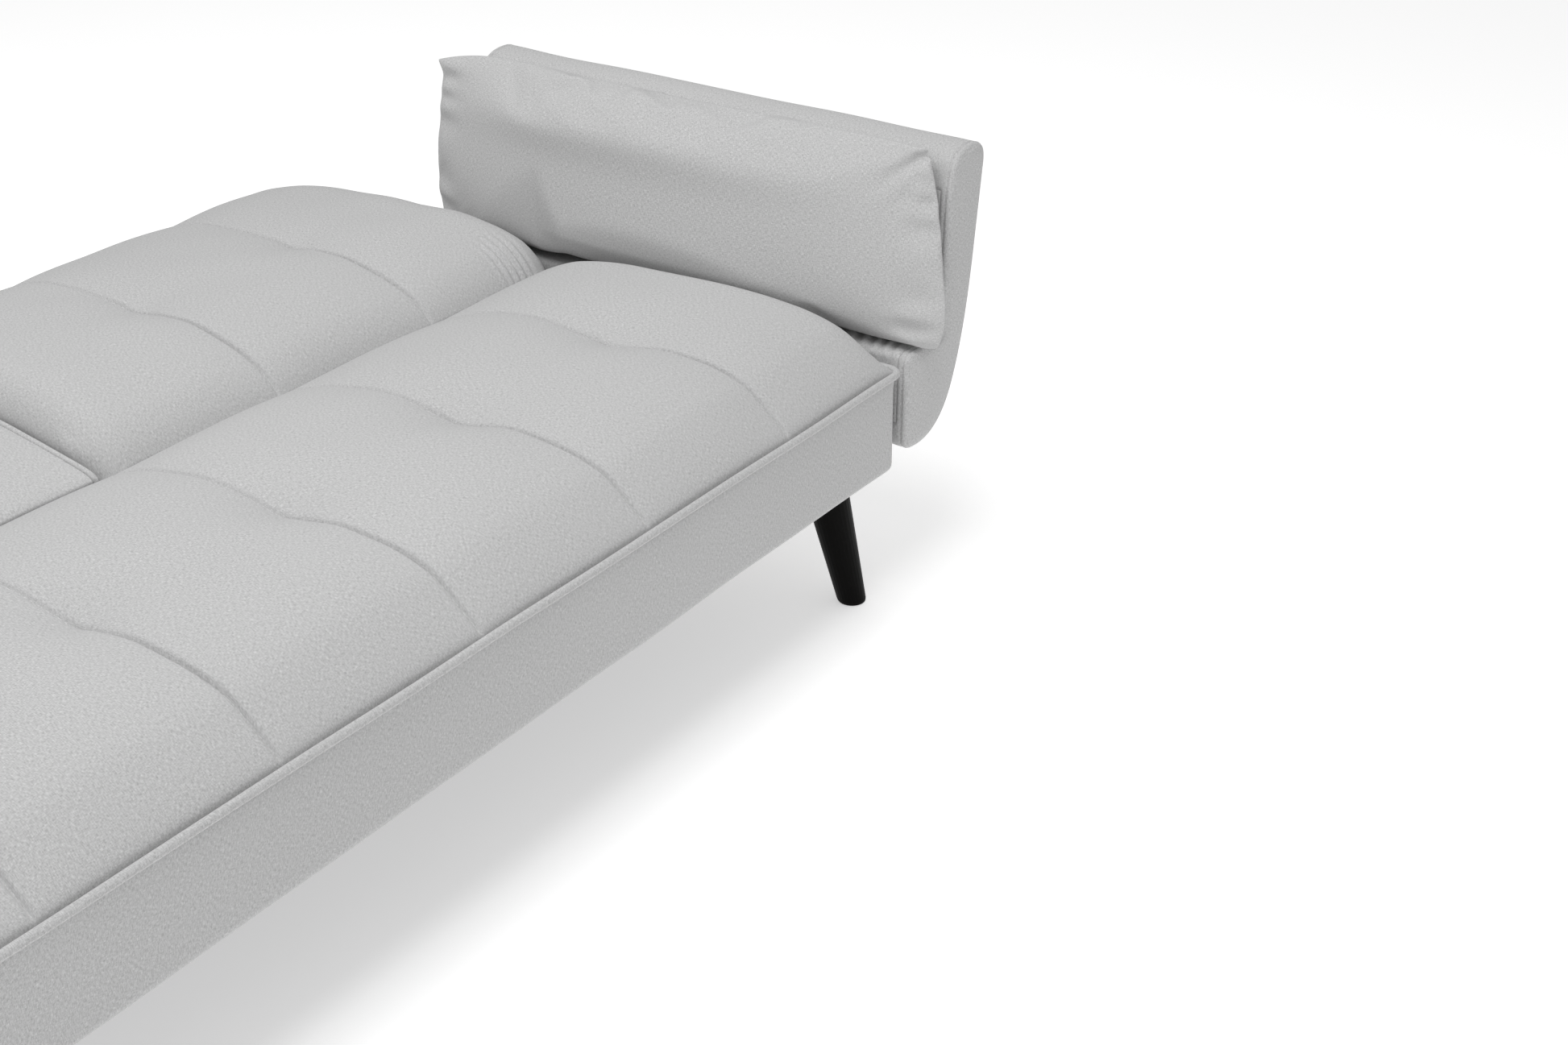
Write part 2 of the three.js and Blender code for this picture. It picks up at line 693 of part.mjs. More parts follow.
function pillow() {
  const front = -HALF_DEPTH + 2;
  const rear = ARM_REAR + PILLOW_PROUD;
  const centre = [938, 445];
  const edge = ([x, z]) => [centre[0] + (x - centre[0]) * 0.16, z];
  const ends = [0, 14, 50, 120, 240];
  const fullness = (d) => Math.sqrt(1 - (1 - Math.min(d / 240, 1)) ** 2);
  const ring = (y, d) => PILLOW.map((point) => {
    const [thinX, thinZ] = edge(point);
    const f = fullness(d);
    const squeeze = 1 - 0.05 * (1 - f);
    return [thinX + (point[0] - thinX) * f, y, centre[1] + (thinZ - centre[1]) * squeeze];
  });
  const rings = ends.map((d) => ring(front + d, d));
  rings.push(...[...ends].reverse().map((d) => ring(rear - d, d)));
  return loft(rings);
}

// ---- build ------------------------------------------------------------------------------------------------

baseFrame();
legs();
seat();
arms();
hinges();
back();
centreConsole();
addPair('pillow', pillow(), linen);

export default sofa;
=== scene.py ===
"""The looks of a click-clack futon sofa bed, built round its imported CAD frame."""

import json
import math

import bpy
import numpy as np
from mathutils import Matrix, Vector


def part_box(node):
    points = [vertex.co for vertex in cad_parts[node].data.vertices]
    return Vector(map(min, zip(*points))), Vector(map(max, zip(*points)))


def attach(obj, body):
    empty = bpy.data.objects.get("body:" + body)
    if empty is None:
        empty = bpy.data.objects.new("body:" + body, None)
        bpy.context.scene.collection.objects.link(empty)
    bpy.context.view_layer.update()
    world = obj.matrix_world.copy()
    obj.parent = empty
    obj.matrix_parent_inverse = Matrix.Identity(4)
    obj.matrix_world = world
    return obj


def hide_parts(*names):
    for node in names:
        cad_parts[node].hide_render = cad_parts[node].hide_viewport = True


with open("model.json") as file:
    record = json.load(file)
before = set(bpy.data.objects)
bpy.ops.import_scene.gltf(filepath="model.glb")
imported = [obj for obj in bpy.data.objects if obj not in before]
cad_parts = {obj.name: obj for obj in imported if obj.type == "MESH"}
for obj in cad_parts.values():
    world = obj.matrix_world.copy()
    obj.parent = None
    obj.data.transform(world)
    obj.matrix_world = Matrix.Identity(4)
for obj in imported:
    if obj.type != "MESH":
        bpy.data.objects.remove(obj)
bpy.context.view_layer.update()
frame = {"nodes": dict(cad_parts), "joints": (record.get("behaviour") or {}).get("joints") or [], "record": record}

# ---- places taken from the frame ------------------------------------------------

piping_lo, piping_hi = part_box("seat_piping")
HALF_LENGTH = piping_hi.x                       # from the middle to the seat's end
FRONT = piping_lo.y                             # the front of the seat
PIPING_Z = (piping_lo.z + piping_hi.z) / 2      # the corded edge's middle
WELT_Z = PIPING_Z - 0.0085                      # middle of the sewn-in cord, sunk by the padding
SEAT_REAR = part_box("seat_cushion")[1].y
BACK_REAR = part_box("back_cushion_right")[1].y
SKIRT_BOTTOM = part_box("seat_skirt_front")[0].z
joints = {joint["name"]: joint for joint in frame["joints"]}
HINGE_Y, HINGE_Z = joints["back_fold"]["pos_m"][1:]
CELL = 0.256                                    # width of one sewn channel
SEAMS = [CELL * (k - 2.5) for k in range(6)]    # seams between the seven channels


# ---- camera, floor and light ------------------------------------------------------

CAMERA_YAW = 34.63                              # degrees, turned from +X towards +Y
CAMERA_PITCH = 28.56                            # degrees, looking down
CAMERA_LENS = 48.1                              # millimetres, on a film 36 mm wide
CAMERA_FROM_CORNER = (-1.9707, -1.1888, 1.0362)  # from the seat's right front corner


def make_camera():
    """A camera over the seat's front left, looking along it at the right arm."""
    yaw, pitch = math.radians(CAMERA_YAW), math.radians(CAMERA_PITCH)
    look = Vector((math.cos(yaw) * math.cos(pitch), math.sin(yaw) * math.cos(pitch), -math.sin(pitch)))
    data = bpy.data.cameras.new("camera")
    data.lens = CAMERA_LENS
    data.sensor_width = 36.0
    camera = bpy.data.objects.new("camera", data)
    seat_corner = Vector((HALF_LENGTH, FRONT, PIPING_Z))
    camera.location = seat_corner + Vector(CAMERA_FROM_CORNER)
    camera.rotation_euler = look.to_track_quat("-Z", "Y").to_euler()
    bpy.context.collection.objects.link(camera)
    bpy.context.scene.camera = camera


def make_floor():
    """A plain pale studio floor."""
    half = 30.0
    corners = [(-half, -half, 0), (half, -half, 0), (half, half, 0), (-half, half, 0)]
    mesh = bpy.data.meshes.new("floor")
    mesh.from_pydata(corners, [], [(0, 1, 2, 3)])
    floor = bpy.data.objects.new("floor", mesh)
    bpy.context.collection.objects.link(floor)
    material = bpy.data.materials.new("floor_paint")
    material.use_nodes = True
    surface = material.node_tree.nodes["Principled BSDF"]
    surface.inputs["Base Color"].default_value = (0.9, 0.9, 0.9, 1)
    surface.inputs["Roughness"].default_value = 0.9
    surface.inputs["Emission Color"].default_value = (1, 1, 1, 1)
    surface.inputs["Emission Strength"].default_value = 0.5
    mesh.materials.append(material)


def area_light(name, place, aim, size, power):
    """A round soft light at a place, turned to its aim."""
    data = bpy.data.lights.new(name, "AREA")
    data.shape = "DISK"
    data.size = size
    data.energy = power
    lamp = bpy.data.objects.new(name, data)
    lamp.location = place
    lamp.rotation_euler = (Vector(aim) - Vector(place)).to_track_quat("-Z", "Y").to_euler()
    bpy.context.collection.objects.link(lamp)


def make_light():
    """An even white surround and one large soft light overhead."""
    world = bpy.data.worlds.new("studio")
    world.use_nodes = True
    world.node_tree.nodes["Background"].inputs["Color"].default_value = (1, 1, 1, 1)
    world.node_tree.nodes["Background"].inputs["Strength"].default_value = 0.38
    bpy.context.scene.world = world
    bpy.context.scene.view_settings.view_transform = "Standard"
    area_light("top_softbox", (-0.3, -0.25, 3.3), (0.2, 0.0, 0.3), 2.4, 71)


# ---- shader node groups --------------------------------------------------------------

def new_group(name, inputs, outputs):
    """A shader node group. Sockets are (name, kind) or (name, kind, default)."""
    group = bpy.data.node_groups.new(name, "ShaderNodeTree")
    for side, sockets in (("INPUT", inputs), ("OUTPUT", outputs)):
        for socket_name, kind, *default in sockets:
            made = group.interface.new_socket(socket_name, in_out=side, socket_type="NodeSocket" + kind)
            if default:
                made.default_value = default[0]
    return group, group.nodes.new("NodeGroupInput"), group.nodes.new("NodeGroupOutput")


def put(tree, kind, links=(), **settings):
    """Adds a node. links maps an input socket to an output socket or a value."""
    node = tree.nodes.new("ShaderNode" + kind)
    for key, value in settings.items():
        setattr(node, key, value)
    for socket, source in dict(links).items():
        if isinstance(source, bpy.types.NodeSocket):
            tree.links.new(source, node.inputs[socket])
        else:
            node.inputs[socket].default_value = source
    return node


def threads_group():
    """Plain weave: streaky heather in the colour, and raised over-and-under threads."""
    group, given, out = new_group(
        "threads",
        [("Cloth", "Vector"), ("Pitch", "Float", 0.0011), ("Heather", "Float", 0.1)],
        [("Shade", "Float"), ("Height", "Float")])
    split = put(group, "SeparateXYZ", {0: given.outputs["Cloth"]})
    streaks = []
    for across, along in ((0.0007, 0.0034), (0.0042, 0.0008)):
        stretch = put(group, "VectorMath", {0: given.outputs["Cloth"], 1: (1 / across, 1 / along, 1.0)},
                      operation="MULTIPLY")
        noise = put(group, "TexNoise", {"Vector": stretch.outputs[0], "Scale": 1.0, "Detail": 2.0})
        streaks.append(noise.outputs[0])
    both = put(group, "Math", {0: streaks[0], 1: streaks[1]}, operation="ADD")
    centred = put(group, "Math", {0: both.outputs[0], 1: 1.0}, operation="SUBTRACT")
    shade = put(group, "Math", {0: centred.outputs[0], 1: given.outputs["Heather"]}, operation="MULTIPLY")
    waves = []
    for axis in ("X", "Y"):
        turns = put(group, "Math", {0: split.outputs[axis], 1: given.outputs["Pitch"]}, operation="DIVIDE")
        angle = put(group, "Math", {0: turns.outputs[0], 1: 2 * math.pi}, operation="MULTIPLY")
        waves.append(put(group, "Math", {0: angle.outputs[0]}, operation="SINE").outputs[0])
    weave = put(group, "Math", {0: waves[0], 1: waves[1]}, operation="MULTIPLY")
    height = put(group, "Math", {0: weave.outputs[0], 1: 0.35, 2: centred.outputs[0]},
                 operation="MULTIPLY_ADD")
    group.links.new(shade.outputs[0], out.inputs["Shade"])
    group.links.new(height.outputs[0], out.inputs["Height"])
    return group


def grain_group():
    """Long grain along the object's X, with darker late wood."""
    group, given, out = new_group(
        "grain",
        [("Place", "Vector"), ("Scale", "Float", 1.0)],
        [("Figure", "Float"), ("Height", "Float")])
    stretch = put(group, "VectorMath", {0: given.outputs["Place"], 1: (2.0, 60.0, 60.0)},
                  operation="MULTIPLY")
    scaled = put(group, "VectorMath", {0: stretch.outputs[0], "Scale": given.outputs["Scale"]},
                 operation="SCALE")
    noise = put(group, "TexNoise", {"Vector": scaled.outputs[0], "Scale": 1.0, "Detail": 4.0,
                                    "Distortion": 0.6})
    fine = put(group, "TexNoise", {"Vector": scaled.outputs[0], "Scale": 7.0, "Detail": 2.0})
    mixed = put(group, "Math", {0: fine.outputs[0], 1: 0.3, 2: noise.outputs[0]}, operation="MULTIPLY_ADD")
    group.links.new(mixed.outputs[0], out.inputs["Figure"])
    group.links.new(fine.outputs[0], out.inputs["Height"])
    return group


def mottle_group():
    """Slow uneven tone, and a fine tooth, for paint, plate and moulded plastic."""
    group, given, out = new_group(
        "mottle",
        [("Place", "Vector"), ("Tooth", "Float", 900.0)],
        [("Tone", "Float"), ("Height", "Float")])
    slow = put(group, "TexNoise", {"Vector": given.outputs["Place"], "Scale": 9.0, "Detail": 3.0})
    fine = put(group, "TexNoise", {"Vector": given.outputs["Place"], "Scale": given.outputs["Tooth"],
                                   "Detail": 1.0})
    group.links.new(slow.outputs[0], out.inputs["Tone"])
    group.links.new(fine.outputs[0], out.inputs["Height"])
    return group


THREADS = threads_group()
GRAIN = grain_group()
MOTTLE = mottle_group()


# ---- materials --------------------------------------------------------------------------

def new_material(name, roughness, **sockets):
    """A material, its node tree and its surface shader, with constants set on the sockets."""
    material = bpy.data.materials.new(name)
    material.use_nodes = True
    surface = material.node_tree.nodes["Principled BSDF"]
    surface.inputs["Roughness"].default_value = roughness
    for socket, value in sockets.items():
        surface.inputs[socket.replace("_", " ")].default_value = value
    return material, material.node_tree, surface


def use_group(tree, group, **links):
    """Adds a node group. links maps an input's name to an output socket or a value."""
    node = tree.nodes.new("ShaderNodeGroup")
    node.node_tree = group
    for socket, source in links.items():
        if isinstance(source, bpy.types.NodeSocket):
            tree.links.new(source, node.inputs[socket])
        else:
            node.inputs[socket].default_value = source
    return node


def tint(tree, surface, factor, low, high, spread):
    """Base colour from low to high as factor goes over the spread (from, to)."""
    ramp = put(tree, "ValToRGB", {0: factor})
    ramp.color_ramp.elements[0].position = spread[0]
    ramp.color_ramp.elements[1].position = spread[1]
    ramp.color_ramp.elements[0].color = (*low, 1)
    ramp.color_ramp.elements[1].color = (*high, 1)
    tree.links.new(ramp.outputs[0], surface.inputs["Base Color"])


def roughen(tree, surface, height, strength, distance):
    """Bumps the surface by a height."""
    bump = put(tree, "Bump", {"Height": height, "Strength": strength, "Distance": distance})
    tree.links.new(bump.outputs[0], surface.inputs["Normal"])


def cloth_material(name, dark, light, heather, pitch, bump, sheen):
    """Woven cloth that reads the piece's own cloth map, which is in metres."""
    material, tree, surface = new_material(name, 0.9, Sheen_Weight=sheen, Sheen_Roughness=0.5,
                                           Specular_IOR_Level=0.25)
    cloth = put(tree, "UVMap", uv_map="cloth")
    weave = use_group(tree, THREADS, Cloth=cloth.outputs[0], Pitch=pitch, Heather=heather)
    place = put(tree, "TexCoord")
    patches = put(tree, "TexNoise", {"Vector": place.outputs["Object"], "Scale": 3.0, "Detail": 3.0})
    tone = put(tree, "Math", {0: patches.outputs[0], 1: 0.1, 2: weave.outputs["Shade"]},
               operation="MULTIPLY_ADD")
    centred = put(tree, "Math", {0: tone.outputs[0], 1: 0.45}, operation="ADD")
    tint(tree, surface, centred.outputs[0], dark, light, (0.0, 1.0))
    roughen(tree, surface, weave.outputs["Height"], bump, 0.0004)
    return material


def lining_material():
    """Black non-woven lining with a fine pressed tooth."""
    material, tree, surface = new_material("black_lining", 0.95)
    place = put(tree, "TexCoord")
    tooth = use_group(tree, MOTTLE, Place=place.outputs["Object"], Tooth=420.0)
    tint(tree, surface, tooth.outputs["Height"], (0.010, 0.010, 0.012), (0.034, 0.034, 0.038), (0.3, 0.7))
    roughen(tree, surface, tooth.outputs["Height"], 0.5, 0.0005)
    return material


def wood_material(name, dark, light, scale):
    """Bare sawn or laminated wood."""
    material, tree, surface = new_material(name, 0.62)
    place = put(tree, "TexCoord")
    figure = use_group(tree, GRAIN, Place=place.outputs["Object"], Scale=scale)
    tint(tree, surface, figure.outputs["Figure"], dark, light, (0.4, 0.9))
    roughen(tree, surface, figure.outputs["Height"], 0.25, 0.0006)
    return material


def smooth_material(name, dark, light, roughness, metallic=0.0, tooth=900.0, bump=0.15, **sockets):
    """Paint, plate or moulded plastic."""
    material, tree, surface = new_material(name, roughness, Metallic=metallic, **sockets)
    place = put(tree, "TexCoord")
    mottle = use_group(tree, MOTTLE, Place=place.outputs["Object"], Tooth=tooth)
    tint(tree, surface, mottle.outputs["Tone"], dark, light, (0.3, 0.7))
    worn = put(tree, "MapRange", {"Value": mottle.outputs["Tone"], "From Min": 0.3, "From Max": 0.7,
                                  "To Min": roughness - 0.06, "To Max": roughness + 0.08})
    tree.links.new(worn.outputs[0], surface.inputs["Roughness"])
    roughen(tree, surface, mottle.outputs["Height"], bump, 0.0003)
    return material


LINEN = cloth_material("grey_linen", (0.36, 0.36, 0.36), (0.70, 0.70, 0.70), 1.4, 0.0011, 0.10, 0.10)
THREAD = smooth_material("grey_thread", (0.42, 0.42, 0.415), (0.56, 0.56, 0.55), 0.8)
LINING = lining_material()
TIMBER = wood_material("softwood", (0.42, 0.27, 0.14), (0.66, 0.48, 0.29), 1.0)
PLYWOOD = wood_material("plywood", (0.46, 0.32, 0.19), (0.68, 0.53, 0.35), 1.6)
BLACK_WOOD = smooth_material("black_leg_paint", (0.0028, 0.0026, 0.0024), (0.0048, 0.0045, 0.0042), 0.5,
                             tooth=240.0, Specular_IOR_Level=0.05)
BLACK_STEEL = smooth_material("black_steel_paint", (0.010, 0.010, 0.011), (0.018, 0.018, 0.019), 0.4)
ZINC = smooth_material("zinc_plate", (0.42, 0.43, 0.44), (0.56, 0.57, 0.58), 0.35, metallic=1.0)
PLASTIC = smooth_material("moulded_plastic", (0.012, 0.012, 0.013), (0.020, 0.020, 0.022), 0.5, bump=0.3)

FINISHES = {
    "linen": LINEN, "lining": LINING, "timber": TIMBER, "plywood": PLYWOOD, "black_wood": BLACK_WOOD,
    "black_steel": BLACK_STEEL, "zinc_steel": ZINC, "black_plastic": PLASTIC,
}


def dress_cad_nodes():
    """Every CAD node gets the finish that its material slot in the record names."""
    slots = {part["node"]: part["material_slot"] for part in frame["record"]["subparts"]}
    for name, node in frame["nodes"].items():
        node.data.materials.clear()
        node.data.materials.append(FINISHES[slots[name]])


# ---- mesh helpers -----------------------------------------------------------------------

def distances(points):
    """Running length along a row of points."""
    steps = np.linalg.norm(np.diff(points, axis=0), axis=1)
    return np.concatenate([[0.0], np.cumsum(steps)])


def make_piece(name, vertices, faces, cloth, material, body):
    """A smooth mesh object. cloth holds one (u, v) in metres for each face corner."""
    mesh = bpy.data.meshes.new(name)
    mesh.from_pydata([tuple(v) for v in vertices], [], faces)
    layer = mesh.uv_layers.new(name="cloth")
    layer.data.foreach_set("uv", np.asarray(cloth, dtype=np.float32).ravel())
    mesh.polygons.foreach_set("use_smooth", [True] * len(mesh.polygons))
    mesh.materials.append(material)
    mesh.update()
    piece = bpy.data.objects.new(name, mesh)
    bpy.context.collection.objects.link(piece)
    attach(piece, body)
    return piece


def loft(rings, caps=True):
    """Vertices, faces and cloth coordinates of a skin over rings of equal length."""
    rings = np.asarray(rings)
    count, size = rings.shape[:2]
    vertices = rings.reshape(-1, 3)
    middle = rings[count // 2]
    around = distances(np.vstack([middle, middle[:1]]))
    along = distances(rings.mean(axis=1))
    faces, cloth = [], []
    for r in range(count - 1):
        for i in range(size):
            j = (i + 1) % size
            faces.append((r * size + i, r * size + j, (r + 1) * size + j, (r + 1) * size + i))
            u0, u1 = around[i], around[i + 1]
            v0, v1 = along[r], along[r + 1]
            cloth += [(u0, v0), (u1, v0), (u1, v1), (u0, v1)]
    if caps:
        for ring, order in ((0, -1), (count - 1, 1)):
            loop = list(range(ring * size, (ring + 1) * size))[::order]
            faces.append(tuple(loop))
            cloth += [tuple(vertices[i][1:]) for i in loop]
    return vertices, faces, cloth


def lofted(name, rings, material, body):
    """A closed piece skinned over rings."""
    vertices, faces, cloth = loft(rings)
    piece = make_piece(name, vertices, faces, cloth, material, body)
    face_outwards(piece)
    return piece


def face_outwards(piece):
    """Turns a closed mesh's faces outwards."""
    mesh = piece.data
    count = len(mesh.vertices)
    points = np.empty(count * 3)
    mesh.vertices.foreach_get("co", points)
    points = points.reshape(-1, 3)
    mesh.calc_loop_triangles()
    triangles = np.empty(len(mesh.loop_triangles) * 3, dtype=np.int32)
    mesh.loop_triangles.foreach_get("vertices", triangles)
    a, b, c = (points[triangles.reshape(-1, 3)[:, k]] for k in range(3))
    if np.einsum("ij,ij->i", a, np.cross(b, c)).sum() < 0:
        mesh.flip_normals()


def mirror_piece(piece, name, body):
    """The piece's twin on the other side of the middle."""
    mesh = piece.data.copy()
    mesh.name = name
    mesh.transform(Matrix.Scale(-1, 4, (1, 0, 0)))
    mesh.flip_normals()
    twin = bpy.data.objects.new(name, mesh)
    bpy.context.collection.objects.link(twin)
    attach(twin, body)
    return twin


def smooth_curve(stations):
    """A function through (place, value) stations, smooth and without overshoot."""
    xs, ys = np.array(stations, dtype=float).T
    slopes = np.diff(ys) / np.diff(xs)
    tangents = np.zeros(len(xs))
    tangents[0], tangents[-1] = slopes[0], slopes[-1]
    for k in range(1, len(xs) - 1):
        if slopes[k - 1] * slopes[k] > 0:
            tangents[k] = 2 / (1 / slopes[k - 1] + 1 / slopes[k])

    def curve(x):
        x = np.clip(x, xs[0], xs[-1])
        k = np.clip(np.searchsorted(xs, x, side="right") - 1, 0, len(xs) - 2)
        width = xs[k + 1] - xs[k]
        t = (x - xs[k]) / width
        return ((1 + 2 * t) * (1 - t) ** 2 * ys[k] + t * (1 - t) ** 2 * width * tangents[k]
                + t * t * (3 - 2 * t) * ys[k + 1] + t * t * (t - 1) * width * tangents[k + 1])
    return curve


def ripples(x, y, size, seed):
    """Slow, even unevenness of about -1 to 1, made of a few crossing waves."""
    random = np.random.default_rng(seed)
    total = np.zeros(np.broadcast(x, y).shape)
    waves = 9
    for _ in range(waves):
        angle, phase = random.uniform(0, 2 * math.pi, 2)
        pitch = size * random.uniform(0.6, 1.6)
        total += np.sin((x * math.cos(angle) + y * math.sin(angle)) * 2 * math.pi / pitch + phase)
    return total / math.sqrt(waves)


def sweep(path, radius, sides=12):
    """Rings of a round cord along a path of points."""
    path = np.asarray(path, dtype=float)
    tangents = np.gradient(path, axis=0)
    tangents /= np.linalg.norm(tangents, axis=1)[:, None]
    up = np.array([0.0, 0.0, 1.0])
    side = np.cross(tangents, up)
    side /= np.linalg.norm(side, axis=1)[:, None]
    rise = np.cross(side, tangents)
    angles = np.linspace(0, 2 * math.pi, sides, endpoint=False)
    ring = side[:, None] * np.cos(angles)[None, :, None] + rise[:, None] * np.sin(angles)[None, :, None]
    return path[:, None] + ring * radius


# ---- padded panels: the seat and the two halves of the back ----------------------------

SEAM_STEPS = (0.0, 0.0012, 0.0026, 0.0045, 0.007, 0.0105, 0.015, 0.021)
END_STEPS = (0.0, 0.001, 0.0025, 0.005, 0.009, 0.014, 0.02, 0.027)
CROWN_POWER = 2.6                     # how flat-topped a channel is
GROOVE_HALF_WIDTH = 0.0023            # of a sewn seam
GROOVE_DEPTH = 0.0034
GROOVE_EXTRA = 0.0042                 # how much deeper it is a hand's width from the front
PUCKERS = 9                           # little folds round each pinched spot
PUCKER_HEIGHT = 0.0007
UNEVENNESS = 0.0009


def channel_places(x0, x1, seams, step=0.008, gathered=()):
    """Stations along a padded panel, close together at the seams, the gathers and both ends."""
    places = {round(float(x), 5) for x in gathered}
    for seam in seams:
        for d in SEAM_STEPS:
            places.update((round(seam - d, 5), round(seam + d, 5)))
    for d in END_STEPS:
        places.update((round(x0 + d, 5), round(x1 - d, 5)))
    for x in np.arange(x0, x1, step):
        if min(abs(x - place) for place in places) > 0.6 * step:
            places.add(round(float(x), 5))
    return np.array(sorted(places))


def panel_height(x, depth, seams, seam_curve, cell_curve, tuft_depth, seed):
    """Height of the sewn surface above the piping, at x and at a depth from the front edge."""
    gap = np.min([np.abs(x - seam) for seam in seams], axis=0)
    t = np.clip(gap / (CELL / 2), 0, 1)
    crown = 1 - (1 - t) ** CROWN_POWER
    low, high = seam_curve(depth), cell_curve(depth)
    height = low + (high - low) * crown
    near_front = np.exp(-((depth - 0.10) / 0.10) ** 2)
    groove = (GROOVE_DEPTH + GROOVE_EXTRA * near_front) * np.clip(depth / 0.008, 0, 1)
    height -= groove * np.exp(-(gap / GROOVE_HALF_WIDTH) ** 2)
    for k, seam in enumerate(seams):
        away = np.hypot(x - seam, (depth - tuft_depth) * 0.8)
        angle = np.arctan2(depth - tuft_depth, x - seam)
        fan = np.cos(PUCKERS * angle + 1.7 * k) * np.exp(-((away - 0.03) / 0.022) ** 2)
        height += PUCKER_HEIGHT * fan
    return height + UNEVENNESS * ripples(x, depth, 0.16, seed)


# Front to rear: how high the cloth is over the piping, along a seam and along a channel's middle.
SEAT_SEAM = smooth_curve([(0, -0.012), (0.0015, -0.0045), (0.004, -0.0005), (0.012, 0.0075), (0.03, 0.022),
                          (0.065, 0.046), (0.12, 0.058), (0.17, 0.060), (0.22, 0.052), (0.26, 0.0435),
                          (0.30, 0.048), (0.36, 0.053), (0.45, 0.040), (0.50, 0.025), (0.53, 0.012),
                          (0.5445, -0.004)])
SEAT_CELL = smooth_curve([(0, -0.012), (0.0015, -0.0038), (0.004, 0.0015), (0.012, 0.0118), (0.03, 0.030),
                          (0.065, 0.055), (0.12, 0.068), (0.17, 0.071), (0.26, 0.070), (0.36, 0.066),
                          (0.45, 0.050), (0.50, 0.031), (0.53, 0.013), (0.5445, -0.004)])
BACK_SEAM = smooth_curve([(0, 0.000), (0.012, 0.016), (0.04, 0.035), (0.09, 0.050), (0.15, 0.059),
                          (0.20, 0.056), (0.237, 0.049), (0.28, 0.053), (0.33, 0.055), (0.40, 0.050),
                          (0.45, 0.039), (0.48, 0.027), (0.50, 0.013), (0.5105, -0.008)])
BACK_CELL = smooth_curve([(0, 0.001), (0.012, 0.019), (0.04, 0.042), (0.09, 0.059), (0.15, 0.069),
                          (0.237, 0.069), (0.33, 0.063), (0.40, 0.055), (0.45, 0.043), (0.48, 0.031),
                          (0.50, 0.017), (0.5105, -0.006)])

SEAT_TUFT = 0.26                      # depth at which the seat's seams are pinched
BACK_TUFT = 0.237
SEAT_END_ROUND = 0.054                # how far the seat's ends take to round over
SEAT_END_SUNK = 0.006
PANEL_THICK = 0.038                   # from the piping's middle down to a panel's underside
BACK_INNER = 0.1285                   # the back section's end beside the console
BACK_OUTER = 0.8685                   # and beside the arm


def round_end(distance, reach):
    """0 at a panel's end, rising like a quarter circle to 1 at reach."""
    s = np.clip(distance / reach, 0, 1)
    return np.sqrt(1 - (1 - s) ** 2)


def seat_top():
    """The sewn seat: seven channels, pinched half way back, closed underneath."""
    x1 = HALF_LENGTH - 0.009
    xs = channel_places(-x1, x1, SEAMS)
    y0 = FRONT + 0.0052
    y1 = SEAT_REAR + 0.0025
    depth = np.concatenate([[0, 0.0007, 0.0015, 0.0025, 0.004, 0.007, 0.011, 0.016],
                            np.linspace(0.024, 0.52, 66), [0.526, 0.532, 0.538, 0.542, 0.5445]])
    ys = y0 + depth / depth[-1] * (y1 - y0)
    grid_x, grid_depth = np.meshgrid(xs, depth, indexing="ij")
    height = panel_height(grid_x, grid_depth, SEAMS, SEAT_SEAM, SEAT_CELL, SEAT_TUFT, 11)
    fall = round_end(x1 - np.abs(grid_x), SEAT_END_ROUND)
    height = height * fall - SEAT_END_SUNK * (1 - fall)
    under = PIPING_Z - PANEL_THICK
    lower = [(y1 - 0.001, PIPING_Z - 0.02), (y1 - 0.004, under + 0.002), (y1 - 0.03, under),
             (y0 + 0.03, under), (y0 + 0.002, under + 0.002), (y0, PIPING_Z - 0.02)]
    rings = []
    for x, row in zip(xs, height):
        top = [(x, y, PIPING_Z + z) for y, z in zip(ys, row)]
        rings.append(top + [(x, y, z) for y, z in lower])
    piece = lofted("seat_cushion_cover", rings, LINEN, "base")
    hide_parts("seat_cushion")


def back_shape(grid_x, grid_depth, ys, seams, inner_end, outer_end):
    """Height over the piping of one half of the back, falling away at both ends."""
    height = panel_height(grid_x, grid_depth, seams, BACK_SEAM, BACK_CELL, BACK_TUFT, 23)
    height += end_gathers(grid_x, grid_depth, outer_end)
    inner, outer = np.abs(grid_x - inner_end), np.abs(grid_x - outer_end)
    height -= 0.052 * (1 - round_end(inner, 0.05))
    rearward = np.clip(grid_depth / 0.2, 0, 1)
    height -= (0.012 + 0.042 * rearward) * (1 - round_end(outer, 0.026 + 0.05 * rearward))
    return over_rail(height, grid_x, ys)


def back_underside(rear, bottom, edge_radius):
    """(y, z) from the rear edge under the section and round its rolled front edge."""
    under = [(rear, PIPING_Z - 0.02), (rear + 0.0005, PIPING_Z - 0.035), (rear - 0.001, PIPING_Z - 0.052),
             (rear - 0.006, bottom + 0.006), (rear - 0.014, bottom), (rear - 0.03, bottom),
             (0.3, bottom), (0.12, bottom), (0.08, bottom + 0.001)]
    for degrees in range(242, 176, -8):
        a = math.radians(degrees)
        under.append((HINGE_Y + edge_radius * math.cos(a), HINGE_Z + edge_radius * math.sin(a)))
    return under


